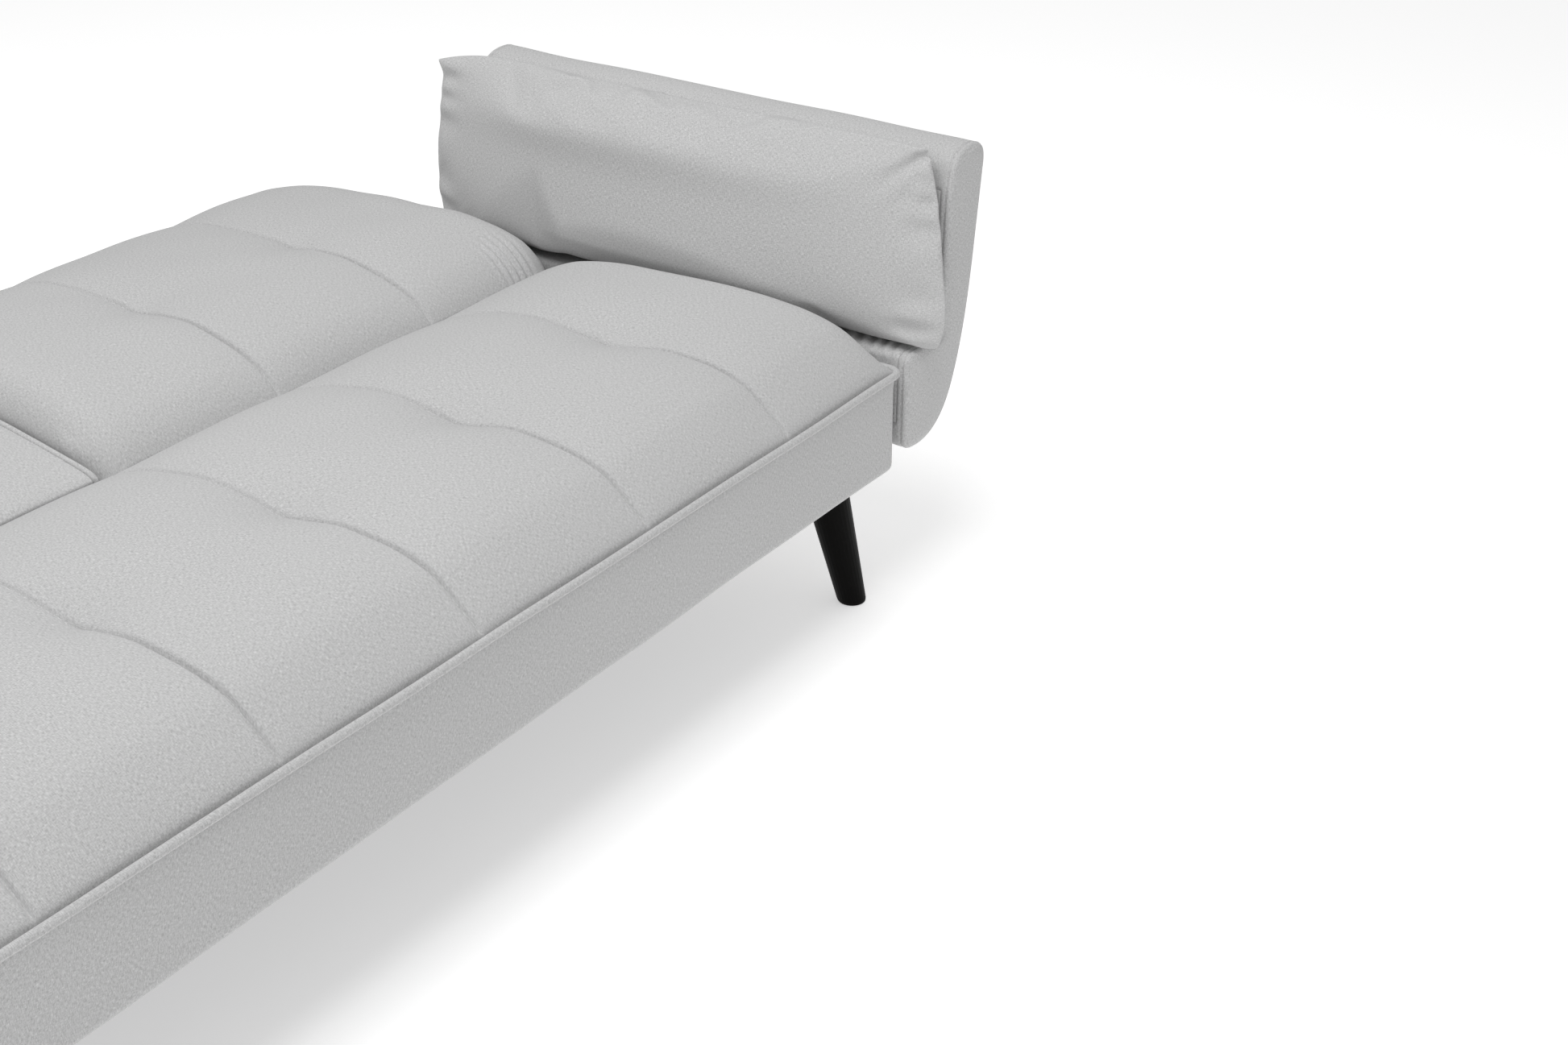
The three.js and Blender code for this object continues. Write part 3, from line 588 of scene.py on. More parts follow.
def back_section(name, side, seams, cad_node):
    """One half of the back: sewn top, rolled front edge, boxed ends and rear."""
    inner_end, outer_end = side * BACK_INNER, side * BACK_OUTER
    x0, x1 = sorted((inner_end, outer_end))
    gathered = side * np.arange(BACK_OUTER - 0.100, BACK_OUTER - 0.022, 0.0018)
    xs = channel_places(x0, x1, seams, gathered=gathered)
    y0 = SEAT_REAR + 0.0055
    depth = np.concatenate([[0, 0.002, 0.006], np.linspace(0.012, 0.48, 62),
                            [0.487, 0.493, 0.498, 0.503, 0.507, 0.5105]])
    ys = y0 + depth / depth[-1] * (BACK_REAR - 0.001 - y0)
    grid_x, grid_depth = np.meshgrid(xs, depth, indexing="ij")
    height = back_shape(grid_x, grid_depth, ys, seams, inner_end, outer_end)
    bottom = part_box(cad_node)[0].z
    rings = []
    for x, row in zip(xs, height):
        pull = 0.012 * (1 - float(round_end(min(x - x0, x1 - x), 0.02)))
        rear_pull = 0.3 * pull
        squeeze = 1 - (pull + rear_pull) / (BACK_REAR - y0)
        section = [(y0 + pull + (y - y0) * squeeze, PIPING_Z + z) for y, z in zip(ys, row)]
        section += back_underside(BACK_REAR - rear_pull, bottom, 0.048 - pull)
        rings.append([(x, y, z) for y, z in section])
    piece = lofted(name, rings, LINEN, "back")
    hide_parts(cad_node)


def over_rail(height, x, ys):
    """The cover lifted clear of the inner rail that it is pulled over."""
    rail_lo, rail_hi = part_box("back_inner_rail_right")
    clear = rail_hi.z - PIPING_Z + 0.003
    reach = np.abs(x)
    beside = np.clip((reach - rail_lo.x + 0.003) / 0.002, 0, 1)
    beside *= np.clip((rail_hi.x + 0.010 - reach) / 0.007, 0, 1)
    along = np.clip((rail_hi.y + 0.018 - ys) / 0.006, 0, 1) * np.clip((ys - rail_lo.y) / 0.03, 0, 1)
    return height + np.maximum(clear - height, 0) * beside * along


def end_gathers(x, depth, end):
    """Short pleats at the front corner next to the arm."""
    inward = np.abs(end - x)
    across = np.exp(-((inward - 0.058) / 0.026) ** 2)
    along = np.exp(-((depth - 0.018) / 0.030) ** 2)
    return 0.0036 * np.cos(inward * 2 * math.pi / 0.0125 + depth * 12) * across * along


# ---- seat box: skirt and piping -----------------------------------------------------------

def u_path(half_x, front, rear, radius, step=0.02):
    """Round the seat's left end, front and right end, with rounded corners."""
    points = [(-half_x, y) for y in np.arange(rear, front + radius, -step)]
    corner = np.linspace(0, math.pi / 2, 9)
    middle_x, middle_y = half_x - radius, front + radius
    points += [(-middle_x - radius * math.cos(a), middle_y - radius * math.sin(a)) for a in corner]
    points += [(x, front) for x in np.arange(-middle_x + step, middle_x - step / 2, step)]
    points += [(middle_x + radius * math.sin(a), middle_y - radius * math.cos(a)) for a in corner]
    points += [(half_x, y) for y in np.arange(front + radius + step, rear, step)]
    points.append((half_x, rear))
    return np.array(points)


def skirt_section(top, foot, thick):
    """(inset, z) of the skirt from its turned-in top edge, down and round its foot."""
    section = [(thick, top), (0.0062, top), (0.0042, top - 0.0015), (0.0022, top - 0.0036),
               (0.0008, top - 0.0062)]
    section += [(0.0, z) for z in np.linspace(top - 0.010, SKIRT_BOTTOM + foot + 0.004, 12)]
    for degrees in range(0, 91, 15):
        a = math.radians(degrees)
        section.append((foot * (1 - math.cos(a)), SKIRT_BOTTOM + foot * (1 - math.sin(a))))
    inside = foot + 0.004
    section += [(inside, SKIRT_BOTTOM + 0.001), (inside, SKIRT_BOTTOM + 0.004)]
    return section + [(thick, SKIRT_BOTTOM + 0.014)]


def seat_skirt():
    """Cloth-covered box side: flat face, rounded foot, following the seat's outline."""
    section = skirt_section(top=WELT_Z - 0.002, foot=0.011, thick=0.008)
    path = u_path(HALF_LENGTH - 0.0010, FRONT + 0.0040, SEAT_REAR, 0.016)
    tangents = np.gradient(path, axis=0)
    tangents /= np.linalg.norm(tangents, axis=1)[:, None]
    inward = np.stack([-tangents[:, 1], tangents[:, 0]], axis=1)
    lower_half = 0.25
    rings = []
    for place, into, s in zip(path, inward, distances(path)):
        ring = []
        for inset, z in section:
            slack = 0.0008 * float(ripples(np.array(s), np.array(z), 0.3, 5))
            lift = 0.0012 * float(ripples(np.array(s), np.array(0.0), 0.5, 8)) * (z < lower_half)
            depth = inset + slack
            ring.append((place[0] + into[0] * depth, place[1] + into[1] * depth, z + lift))
        rings.append(ring)
    piece = lofted("seat_skirt", rings, LINEN, "base")
    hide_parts("seat_skirt_front", "seat_skirt_end_right", "seat_skirt_end_left")


def seat_welt():
    """The corded edge between the seat's top and its skirt."""
    radius = 0.0046
    path = u_path(HALF_LENGTH + 0.0004, FRONT + 0.0002, SEAT_REAR - 0.004, 0.018, step=0.008)
    run = distances(path)
    z = WELT_Z + 0.0006 * ripples(run, np.zeros(len(run)), 0.24, 3)
    rings = sweep(np.column_stack([path, z]), radius, 16)
    piece = lofted("seat_welt", rings, LINEN, "base")
    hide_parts("seat_piping")


# ---- console ----------------------------------------------------------------------------------

# Front to rear: how high the console's edge is over the piping's line.
CONSOLE_EDGE = smooth_curve([(0, 0.001), (0.006, 0.0045), (0.02, 0.008), (0.05, 0.0125), (0.10, 0.0195),
                             (0.164, 0.027), (0.25, 0.031), (0.35, 0.031), (0.43, 0.024),
                             (0.468, 0.012), (0.483, -0.004)])
CONSOLE_DEEP = 0.483


def console_panel():
    """The console's padded face, sewn into a corded edge along both sides."""
    lo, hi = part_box("console_cushion")
    half = hi.x + 0.003
    depth = np.concatenate([[0, 0.002, 0.005, 0.01], np.linspace(0.018, 0.465, 46),
                            [0.471, 0.477, 0.481, CONSOLE_DEEP]])
    ys = lo.y + depth / depth[-1] * (hi.y - lo.y)
    near_edge = np.array([0, 0.002, 0.005, 0.01, 0.018])
    xs = np.concatenate([-half + near_edge, np.linspace(-half + 0.03, half - 0.03, 24),
                         half - near_edge[::-1]])
    rings = []
    for x in xs:
        crown = 0.010 * float(round_end(half - abs(x), half))
        edge = CONSOLE_EDGE(depth) + crown * np.sin(np.clip(depth / CONSOLE_DEEP, 0, 1) * math.pi) ** 0.5
        edge = edge + 0.0007 * ripples(np.full(len(depth), x), depth, 0.13, 31)
        top = [(x, y, PIPING_Z + z) for y, z in zip(ys, edge)]
        under = [(x, ys[-1], lo.z + 0.006), (x, ys[-1] - 0.006, lo.z), (x, ys[0] + 0.012, lo.z),
                 (x, ys[0] + 0.003, lo.z + 0.003)]
        rings.append(top + under)
    piece = lofted("console_face", rings, LINEN, "console")
    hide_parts("console_cushion")
    for side, name in ((1, "console_welt_right"), (-1, "console_welt_left")):
        z = PIPING_Z + CONSOLE_EDGE(depth) + 0.0008
        path = np.column_stack([np.full(len(depth), side * (half + 0.0012)), ys, z])
        tail = np.array([[side * (half + 0.0012), ys[0] - 0.0005, z[0] - 0.008]])
        welt = lofted(name, sweep(np.vstack([tail, path]), 0.0034, 12), LINEN, "console")


def wrap(name, node, body, material, slack, reach=None):
    """Cloth pulled round a rail or beam, over its whole length or as far as reach each side."""
    lo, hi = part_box(node)
    corner = 0.005
    x0, x1 = (lo.x - slack, hi.x + slack) if reach is None else (-reach, reach)
    y0, y1, z0, z1 = lo.y - slack, hi.y + slack, lo.z - slack, hi.z + slack
    section = []
    for centre_y, centre_z, start in ((y1 - corner, z1 - corner, 0), (y0 + corner, z1 - corner, 90),
                                      (y0 + corner, z0 + corner, 180), (y1 - corner, z0 + corner, 270)):
        for turn in range(0, 91, 15):
            a = math.radians(start + turn)
            section.append((centre_y + corner * math.cos(a), centre_z + corner * math.sin(a)))
    rings = []
    for x in np.linspace(x0, x1, int((x1 - x0) / 0.007)):
        sag = 0.0005 * float(ripples(np.array(x), np.array(0.0), 0.05, 71))
        rings.append([(x, y + sag, z + sag) for y, z in section])
    piece = lofted(name, rings, material, body)


def wraps():
    """The frame's stretches that would otherwise show bare timber."""
    behind_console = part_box("back_cushion_right")[0].x + 0.002
    wrap("beam_wrap", "back_top_beam", "back", LINEN, 0.0035, behind_console)
    wrap("tail_beam_wrap", "base_tail_beam", "base", LINEN, 0.0016)
    for side in ("right", "left"):
        wrap("lower_rail_wrap_" + side, "back_lower_rail_" + side, "back", LINING, 0.0012)


# ---- arms -------------------------------------------------------------------------------------

def bezier(p0, p1, p2, p3, count=14):
    """Points along a cubic curve from p0 to p3, pulled towards p1 and p2."""
    t = np.linspace(0, 1, count)[:, None]
    p0, p1, p2, p3 = (np.array(p) for p in (p0, p1, p2, p3))
    return (1 - t) ** 3 * p0 + 3 * t * (1 - t) ** 2 * p1 + 3 * t * t * (1 - t) * p2 + t ** 3 * p3


def spread(points, count):
    """The same line with evenly spaced points."""
    points = np.asarray(points, dtype=float)
    run = distances(points)
    even = np.linspace(0, run[-1], count)
    return np.column_stack([np.interp(even, run, points[:, k]) for k in range(points.shape[1])])


ARM_ROOT = (0.902, 0.197)            # x and z of the arm's lowest point
ARM_CREST = (1.022, 0.555)           # and of its highest
ARM_SIDE = 0.884                     # the arm's face beside the seat's end
LEDGE_Z = 0.325                      # the ledge that the pillow stands on
HEM_TOP = 0.508                      # height of the lining's upper hem
HEM_LOW = 0.235                      # and of the lower one
ON_LEDGE = 0.90                      # x beyond which the lining is over the ledge
HEM = 0.011                          # width of the turned-in hem


def arm_outer():
    """(x, z) of the arm's outside, from its root up to its crest."""
    return np.vstack([
        bezier(ARM_ROOT, (0.950, 0.191), (0.976, 0.216), (0.992, 0.247)),
        bezier((0.992, 0.247), (1.014, 0.292), (1.027, 0.350), (1.036, 0.420))[1:],
        [(1.043, 0.472), (1.050, 0.524)],
        bezier((1.050, 0.524), (1.053, 0.545), (1.042, 0.555), ARM_CREST)[1:],
    ])


def arm_inner():
    """(x, z) beside the seat, over the ledge and up the face that the pillow leans on."""
    return np.vstack([
        bezier(ARM_ROOT, (0.890, 0.198), (0.884, 0.203), (ARM_SIDE, 0.214), 6),
        [(ARM_SIDE, HEM_LOW), (ARM_SIDE, 0.270)],
        bezier((ARM_SIDE, 0.305), (ARM_SIDE, 0.319), (0.887, LEDGE_Z), (0.900, LEDGE_Z), 8),
        bezier((0.944, LEDGE_Z), (0.958, LEDGE_Z), (0.9655, 0.330), (0.966, 0.348), 8),
        [(0.967, 0.400), (0.9686, 0.440), (0.9705, 0.476), (0.9723, HEM_TOP)],
        bezier((0.9775, 0.530), (0.982, 0.548), (0.998, 0.555), ARM_CREST),
    ])


def outline_normals(loop):
    """Outward normals of a closed (x, z) loop that runs anticlockwise."""
    ahead, behind = np.roll(loop, -1, axis=0), np.roll(loop, 1, axis=0)
    along = ahead - behind
    along /= np.maximum(np.linalg.norm(along, axis=1), 1e-9)[:, None]
    return np.column_stack([along[:, 1], -along[:, 0]])


ARM_STEPS = 110                      # points along the outer line, and along the inner one
LINING_BED = 0.0032                  # how deep the lining sits in the padding
# The edge of the padding's flat ends: how far from the end, and how far inside the outline.
ARM_EDGE = {0.0: 0.0052, 0.0004: 0.0034, 0.0013: 0.0018, 0.0028: 0.0006, 0.005: -0.0002, 0.0066: 0.0,
            0.0076: 0.0020, 0.0084: 0.0020, 0.0098: 0.0}


def arm_stations(front, rear):
    """Places along the arm, close together at its ends and at the lining's edges."""
    edge = list(ARM_EDGE) + [0.012, 0.0144, 0.0152]
    middle = np.linspace(front + 0.03, rear - 0.03, 46)
    return [front + d for d in edge] + list(middle) + [rear - d for d in reversed(edge)]


def arm_padding():
    """The arm's padded body, with flat sewn ends and a shallow bed for its lining."""
    outer, inner = spread(arm_outer(), ARM_STEPS), spread(arm_inner(), ARM_STEPS)
    loop = np.vstack([outer, inner[-2:0:-1]])
    normals = outline_normals(loop)
    lo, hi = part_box("arm_shell_right")
    liner_lo, liner_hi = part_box("arm_liner_right")
    is_inner = np.arange(len(loop)) >= ARM_STEPS
    bed = is_inner & (loop[:, 1] < HEM_TOP) & ((loop[:, 1] > HEM_LOW) | (loop[:, 0] > ON_LEDGE))
    ys = arm_stations(lo.y, hi.y)
    rings = []
    for y in ys:
        near = min(y - lo.y, hi.y - y)
        inset = next((v for d, v in ARM_EDGE.items() if abs(near - d) < 1e-6), 0.0)
        ring = loop - normals * inset
        if liner_lo.y < y < liner_hi.y:
            ring = ring - normals * (LINING_BED * bed)[:, None]
        if inset == 0.0 and near > 0.02:
            sag = 0.0010 * ripples(loop[:, 1], np.full(len(loop), y), 0.22, 41)
            ring = ring + normals * sag[:, None]
        rings.append([(x, y, z) for x, z in ring])
    vertices, faces, cloth = loft(rings, caps=False)
    vertices = [tuple(v) for v in vertices]
    size = len(loop)
    add_end_face(vertices, faces, cloth, 0, size, lo.y, -1)
    add_end_face(vertices, faces, cloth, (len(ys) - 1) * size, size, hi.y, 1)
    piece = make_piece("arm_padding_right", vertices, faces, cloth, LINEN, "base")
    face_outwards(piece)
    return piece


def add_end_face(vertices, faces, cloth, base, size, y, outward):
    """Fills the ring that starts at base with a slightly full face, looking along outward."""
    across = 9
    rows = []
    for i in range(ARM_STEPS):
        first = base + i
        last = base + (size - i) % size if i < ARM_STEPS - 1 else first
        if i == 0 or i == ARM_STEPS - 1:
            rows.append([first] * (across + 1))
            continue
        a, b = np.array(vertices[first]), np.array(vertices[last])
        width = np.linalg.norm(b - a)
        row = [first]
        for k in range(1, across):
            t = k / across
            point = a + (b - a) * t
            fullness = 0.0028 * min(1.0, width / 0.05) * (1 - abs(2 * t - 1) ** 3)
            point[1] = y + outward * fullness
            vertices.append(tuple(point))
            row.append(len(vertices) - 1)
        rows.append(row + [last])
    for i in range(ARM_STEPS - 1):
        for k in range(across):
            corners = [rows[i][k], rows[i][k + 1], rows[i + 1][k + 1], rows[i + 1][k]]
            unique = list(dict.fromkeys(corners))
            if len(unique) < 3:
                continue
            if outward > 0:
                unique.reverse()
            faces.append(tuple(unique))
            cloth.extend((vertices[c][0], vertices[c][2]) for c in unique)


def arm_lining():
    """Hemmed panel over the ledge, from behind the pillow down beside the seat."""
    lo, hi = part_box("arm_liner_right")
    line = arm_inner()
    lined = (line[:, 1] >= HEM_LOW - 1e-6) | (line[:, 0] > ON_LEDGE)
    keep = (line[:, 1] <= HEM_TOP + 1e-6) & lined
    line = spread(line[keep], 150)
    along = np.gradient(line, axis=0)
    along /= np.linalg.norm(along, axis=1)[:, None]
    out = np.column_stack([-along[:, 1], along[:, 0]])
    run = distances(line)
    close = np.array([0.0002, 0.0008, 0.002, 0.005, 0.0095, 0.0106, 0.0125])
    ys = np.concatenate([lo.y + close, np.linspace(lo.y + 0.016, lo.y + 0.2, 62),
                         np.linspace(lo.y + 0.21, hi.y - 0.02, 34), hi.y - close[::-1]])
    rings = []
    for y in ys:
        to_side = min(y - lo.y, hi.y - y)
        to_end = np.minimum(run, run[-1] - run)
        inset = np.minimum(to_side, to_end)
        turned = 1 / (1 + np.exp((inset - HEM) / 0.0006))
        rim = np.sqrt(np.clip(inset / 0.0015, 0, 1))
        lift = 0.0006 + 0.0014 * turned * rim
        lift = lift + ledge_pleats(line, y - lo.y) * np.clip(inset / 0.02, 0, 1)
        face = line + out * (lift - 0.0022)[:, None]
        back = line - out * 0.0029
        ring = np.vstack([face, back[::-1]])
        rings.append([(x, y, z) for x, z in ring])
    return lofted("arm_lining_right", rings, LINEN, "base"), (float(hi.y - lo.y), float(run[-1]))


def ledge_pleats(line, from_front):
    """Folds across the ledge, deepest near the front, where the lining lies loose."""
    on_ledge = np.exp(-((line[:, 0] - 0.925) / 0.03) ** 2) * (np.abs(line[:, 1] - LEDGE_Z) < 0.01)
    pleats = np.cos(from_front * 2 * math.pi / 0.021 + 6 * np.sin(from_front * 23) - line[:, 0] * 60)
    near_front = math.exp(-((from_front - 0.05) / 0.10) ** 2)
    return on_ledge * (0.0045 + 0.0032 * pleats) * (0.25 + 0.75 * near_front)


STITCH_LENGTH = 0.0040
STITCH_SPACE = 0.0022
THREAD_RADIUS = 0.00042


def stitch(begin, end, lift, vertices, faces):
    """Adds one stitch to the lists: a small closed grain of thread with six sides."""
    along = end - begin
    along /= np.linalg.norm(along)
    side = np.cross(along, lift)
    side /= np.linalg.norm(side)
    first = len(vertices)
    vertices.append(begin - lift * THREAD_RADIUS)
    for share, scale in ((0.25, 0.85), (0.5, 1.0), (0.75, 0.85)):
        centre = begin * (1 - share) + end * share
        for sixth in range(6):
            a = sixth * math.pi / 3
            vertices.append(centre + (side * math.cos(a) + lift * math.sin(a)) * THREAD_RADIUS * scale)
    vertices.append(end - lift * THREAD_RADIUS)
    last = len(vertices) - 1
    for q in range(6):
        r = (q + 1) % 6
        faces.append((first, first + 1 + r, first + 1 + q))
        for band in (1, 7):
            ring = first + band
            faces.append((ring + q, ring + r, ring + 6 + r, ring + 6 + q))
        faces.append((first + 13 + q, first + 13 + r, last))


def stitch_row(name, path, lift, material, body):
    """A row of thread stitches lying along a path."""
    path = np.asarray(path, dtype=float)
    run = distances(path)
    pitch = STITCH_LENGTH + STITCH_SPACE
    lift = np.array(lift)
    vertices, faces = [], []
    for k in range(int(run[-1] / pitch)):
        places = (k + 0.5) * pitch + np.array([-0.5, 0.5]) * STITCH_LENGTH
        begin, end = np.column_stack([np.interp(places, run, path[:, axis]) for axis in range(3)])
        stitch(begin, end, lift, vertices, faces)
    cloth = [(vertices[c][0], vertices[c][2]) for face in faces for c in face]
    piece = make_piece(name, vertices, faces, cloth, material, body)
    face_outwards(piece)
    return piece


def arm_stitches():
    """Two rows of stitches down each hem that shows."""
    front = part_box("arm_liner_right")[0].y
    pieces = []
    line = arm_inner()
    upper = line[(line[:, 1] >= 0.40) & (line[:, 1] <= HEM_TOP)]
    lower = line[(line[:, 1] >= HEM_LOW) & (line[:, 1] <= 0.31) & (line[:, 0] < 0.89)]
    for row, inset in (("edge", 0.0028), ("fold", 0.0088)):
        for part, points in (("upper", upper), ("lower", lower)):
            sunk = 0.0002 if part == "upper" else 0.0006
            path = [(x - sunk, front + inset, z) for x, z in spread(points, 20)]
            pieces.append((f"hem_stitches_{part}_{row}", path))
        top = [(0.9716, y, HEM_TOP - inset) for y in np.linspace(front + 0.004, front + 0.30, 30)]
        pieces.append((f"hem_stitches_top_{row}", top))
    for name, path in pieces:
        right = stitch_row(name + "_right", path, (-1.0, 0.0, 0.0), THREAD, "base")
        mirror_piece(right, name + "_left", "base")


def arms():
    """Both arms: padding, lining and the stitches of its hems."""
    right = arm_padding()
    left = mirror_piece(right, "arm_padding_left", "base")
    for side, piece in (("right", right), ("left", left)):
        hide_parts("arm_shell_" + side)
    right, cut = arm_lining()
    left = mirror_piece(right, "arm_lining_left", "base")
    for side, piece in (("right", right), ("left", left)):
        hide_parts("arm_liner_" + side)
    arm_stitches()


# ---- pillows -----------------------------------------------------------------------------------

PILLOW_LONG = 0.850                   # the two panels' size, laid flat
PILLOW_WIDE = 0.305
PILLOW_VOLUME = 0.0165                # cubic metres of filling
PILLOW_COLUMNS = 130
PILLOW_ROWS = 46
PILLOW_FOOT = (0.909, 0.329)          # x and z of the long seam that stands on the ledge
PILLOW_HEAD = (0.962, 0.562)          # and of the one that leans on the arm
PILLOW_FULL = 0.016                   # half thickness of the two panels before they are filled
# Where the two ends stand, in y, from foot (0) to head (1).
PILLOW_BACK_END = smooth_curve([(0, 0.248), (0.5, 0.264), (0.82, 0.260), (0.9, 0.260), (1, 0.276)])
PILLOW_FRONT_END = smooth_curve([(0, -0.549), (0.08, -0.565), (0.25, -0.564), (0.5, -0.549), (0.75, -0.531),
                                 (1, -0.515)])
# (z, x) of the cushions' ends and of the arm's inner side, which the pillow may not pass.
SEAT_SIDE = [(0.325, 0.884), (0.345, 0.869), (0.375, 0.856), (0.420, 0.850), (0.560, 0.850)]
LEAN = [(0.320, 0.955), (0.345, 0.9635), (0.440, 0.966), (0.508, 0.9695), (0.532, 0.976), (0.560, 0.990)]
# The pillow also stays beyond the plates that swing up with the back.
HINGE_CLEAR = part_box("hinge_back_plate_right")[1].x + 0.007


def flat_point(i, j, side):
    """One point of a tapered panel, a little out of the flat except round the rim."""
    u, v = 2 * i / PILLOW_COLUMNS - 1, 2 * j / PILLOW_ROWS - 1
    rim = i in (0, PILLOW_COLUMNS) or j in (0, PILLOW_ROWS)
    domed = 0 if rim else (math.cos(u * math.pi / 2) * math.cos(v * math.pi / 2)) ** 0.5
    long_taper, wide_taper = 1 - 0.035 * abs(v) ** 3, 1 - 0.10 * abs(u) ** 5
    return u * PILLOW_LONG / 2 * long_taper, v * PILLOW_WIDE / 2 * wide_taper, side * PILLOW_FULL * domed


def flat_pillow():
    """Two tapered panels sewn together round the edge, a little apart in the middle."""
    index, vertices = {}, []
    for side in (1, -1):
        for i in range(PILLOW_COLUMNS + 1):
            for j in range(PILLOW_ROWS + 1):
                rim = i in (0, PILLOW_COLUMNS) or j in (0, PILLOW_ROWS)
                if rim and side < 0:
                    index[side, i, j] = index[1, i, j]
                    continue
                index[side, i, j] = len(vertices)
                vertices.append(flat_point(i, j, side))
    faces, cloth = [], []
    for side in (1, -1):
        for i in range(PILLOW_COLUMNS):
            for j in range(PILLOW_ROWS):
                quad = [(i, j), (i + 1, j), (i + 1, j + 1), (i, j + 1)][::side]
                faces.append(tuple(index[side, a, b] for a, b in quad))
                cloth += [(a / PILLOW_COLUMNS * PILLOW_LONG, b / PILLOW_ROWS * PILLOW_WIDE) for a, b in quad]
    return vertices, faces, cloth, index


def inflate(piece, volume, frames):
    """Fills a closed cloth up to a volume in a few frames, and gives its points."""
    cloth = piece.modifiers.new("filling", "CLOTH")
    settings = cloth.settings
    settings.quality = 7
    settings.mass = 0.2
    settings.air_damping = 2.0
    settings.tension_stiffness = 25
    settings.compression_stiffness = 25
    settings.shear_stiffness = 10
    settings.bending_stiffness = 0.15
    settings.use_pressure = True
    settings.uniform_pressure_force = 0.6
    settings.use_pressure_volume = True
    settings.target_volume = volume
    settings.effector_weights.gravity = 0
    cloth.point_cache.frame_start = 1
    cloth.point_cache.frame_end = frames
    scene = bpy.context.scene
    for number in range(1, frames + 1):
        scene.frame_set(number)
    shaped = piece.evaluated_get(bpy.context.evaluated_depsgraph_get())
    points = np.array([v.co[:] for v in shaped.data.vertices])
    piece.modifiers.clear()
    scene.frame_set(1)
    return points


def settle(points, index):
    """Straightens the filled pillow's long seams, as a floor and a wall would."""
    settled = points.copy()
    tall = points[:, 1].max() - points[:, 1].min()
    for i in range(PILLOW_COLUMNS + 1):
        column = sorted({index[side, i, j] for side in (1, -1) for j in range(PILLOW_ROWS + 1)})
        high = points[column, 1]
        fraction = (high - high.min()) / (high.max() - high.min())
        settled[column, 1] = (0.15 * (high + tall / 2) + 0.85 * fraction * tall)
    return settled


def stand_up(points):
    """Turns the filled pillow on its long edge and presses it against the arm."""
    along, high, thick = points[:, 0], points[:, 1], points[:, 2]
    fraction = np.clip((high - high.min()) / (high.max() - high.min()), 0, 1)
    share = np.clip((along - along.min()) / (along.max() - along.min()), 0, 1)
    foot, head = np.array(PILLOW_FOOT), np.array(PILLOW_HEAD)
    tall = np.linalg.norm(head - foot)
    up = (head - foot) / tall
    ridge = 0.20 * np.exp(-((fraction - 0.76) / 0.10) ** 2) * (1 - 0.8 * share)
    bulge = thick * (1.26 - 0.36 * fraction + ridge)
    level = fraction * (1 - 0.8 * (1 - fraction) ** 2) * tall
    droop = np.clip(1 - share / 0.20, 0, 1) ** 3 * fraction ** 3
    x = foot[0] + up[0] * level - up[1] * bulge - 0.034 * droop
    y = PILLOW_BACK_END(fraction) + (PILLOW_FRONT_END(fraction) - PILLOW_BACK_END(fraction)) * share
    z = foot[1] + up[1] * level + up[0] * bulge - 0.016 * droop
    x = between_seat_and_arm(x, y, z)
    return np.column_stack([x, y, np.maximum(z, LEDGE_Z + 0.003)])


def between_seat_and_arm(x, y, z):
    """Pushes points back softly from the arm on one side, and the cushions on the other."""
    soft = 0.008
    wall = np.interp(z, *zip(*LEAN))
    past = x - wall
    x = np.where(past > -soft, wall - soft * np.exp(-np.clip(past + soft, 0, None) / soft), x)
    soft = 0.006
    beside_back = np.clip((y + 0.01) / 0.055, 0, 1)
    seat = np.interp(z, *zip(*SEAT_SIDE)) + soft
    seat = seat + np.clip(HINGE_CLEAR - seat, 0, None) * beside_back
    return np.where(x < seat, seat - soft + soft * np.exp((np.minimum(x, seat) - seat) / soft), x)


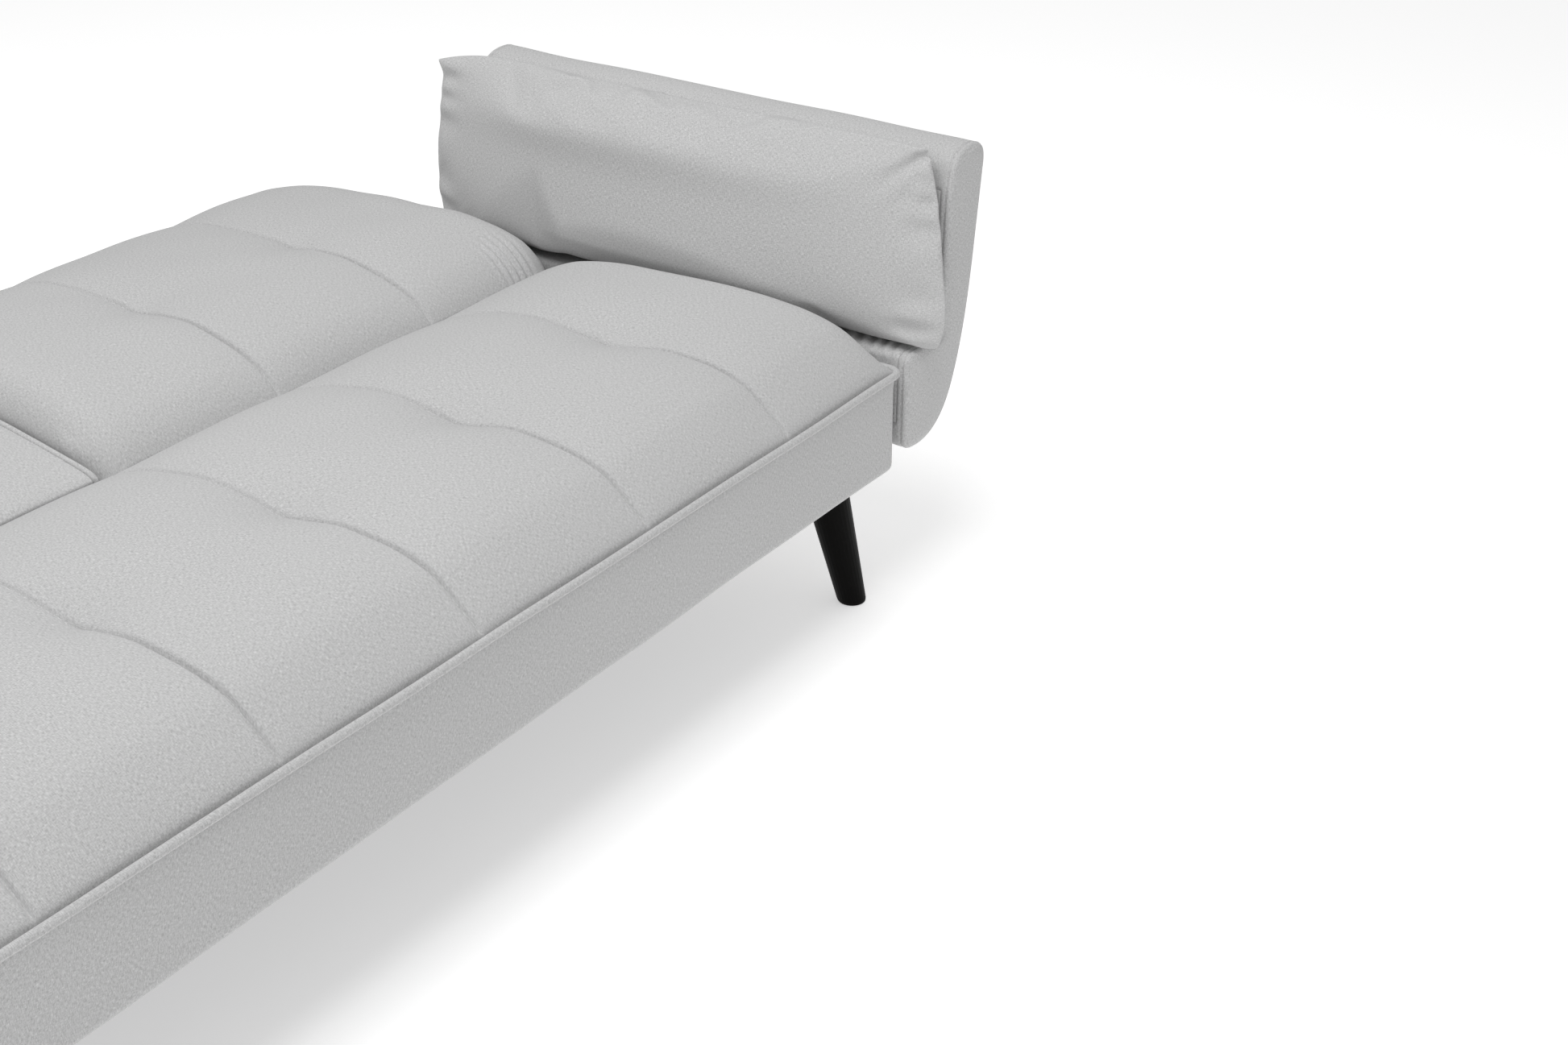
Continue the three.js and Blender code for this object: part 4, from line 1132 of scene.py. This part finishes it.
def pinch(points, front):
    """Folds the front upper corner over, and gathers the seam at both ends."""
    tip_y, tip_z = float(PILLOW_FRONT_END(1.0)), PILLOW_HEAD[1]
    away, below = points[:, 1] - tip_y, tip_z - points[:, 2]
    reach = np.hypot(away, below)
    fold = 0.62                       # radians, the way the folded corner points
    aside = away * math.sin(fold) - below * math.cos(fold)
    lips = 0.014 * np.exp(-(reach / 0.036) ** 2) * (1 - 2.3 * np.exp(-(aside / 0.0075) ** 2))
    creases = 0.0022 * np.cos(13 * np.arctan2(below, away) + 0.8) * np.exp(-((reach - 0.055) / 0.028) ** 2)
    moved = points.copy()
    moved[:, 0] -= front * (lips + creases + seam_gathers(points))
    return moved


def seam_gathers(points):
    """Small uneven pleats beside the seams at the pillow's two ends."""
    height = points[:, 2]
    pleats = np.cos(2 * math.pi * height / 0.043 + 2.5 * np.sin(37 * height))
    from_front = points[:, 1] - PILLOW_FRONT_END(0.5)
    from_back = PILLOW_BACK_END(0.5) - points[:, 1]
    return 0.0034 * pleats * (np.exp(-((from_front - 0.022) / 0.026) ** 2)
                              + 0.7 * np.exp(-((from_back - 0.022) / 0.024) ** 2))


def finer(piece):
    """Rounds a simulated cloth's facets."""
    smooth = piece.modifiers.new("finer", "SUBSURF")
    smooth.levels = smooth.render_levels = 1


def pillow():
    """Knife-edge bolster standing on the arm's ledge, leaning against the arm."""
    vertices, faces, cloth, index = flat_pillow()
    right = make_piece("pillow_case_right", vertices, faces, cloth, LINEN, "pillow_right")
    points = inflate(right, PILLOW_VOLUME, 40)
    settled = settle(points, index)
    front = np.clip(settled[:, 2] / 0.003, 0, 1)
    points = pinch(stand_up(settled), front)
    right.data.vertices.foreach_set("co", points.ravel())
    right.data.update()
    face_outwards(right)
    left = mirror_piece(right, "pillow_case_left", "pillow_left")
    for side, made in (("right", right), ("left", left)):
        finer(made)
        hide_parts("pillow_" + side)


# ---- build ------------------------------------------------------------------------------

make_camera()
make_floor()
make_light()
dress_cad_nodes()
seat_top()
back_section("back_cover_right", 1, SEAMS[4:], "back_cushion_right")
back_section("back_cover_left", -1, SEAMS[:2], "back_cushion_left")
seat_skirt()
seat_welt()
console_panel()
wraps()
arms()
pillow()
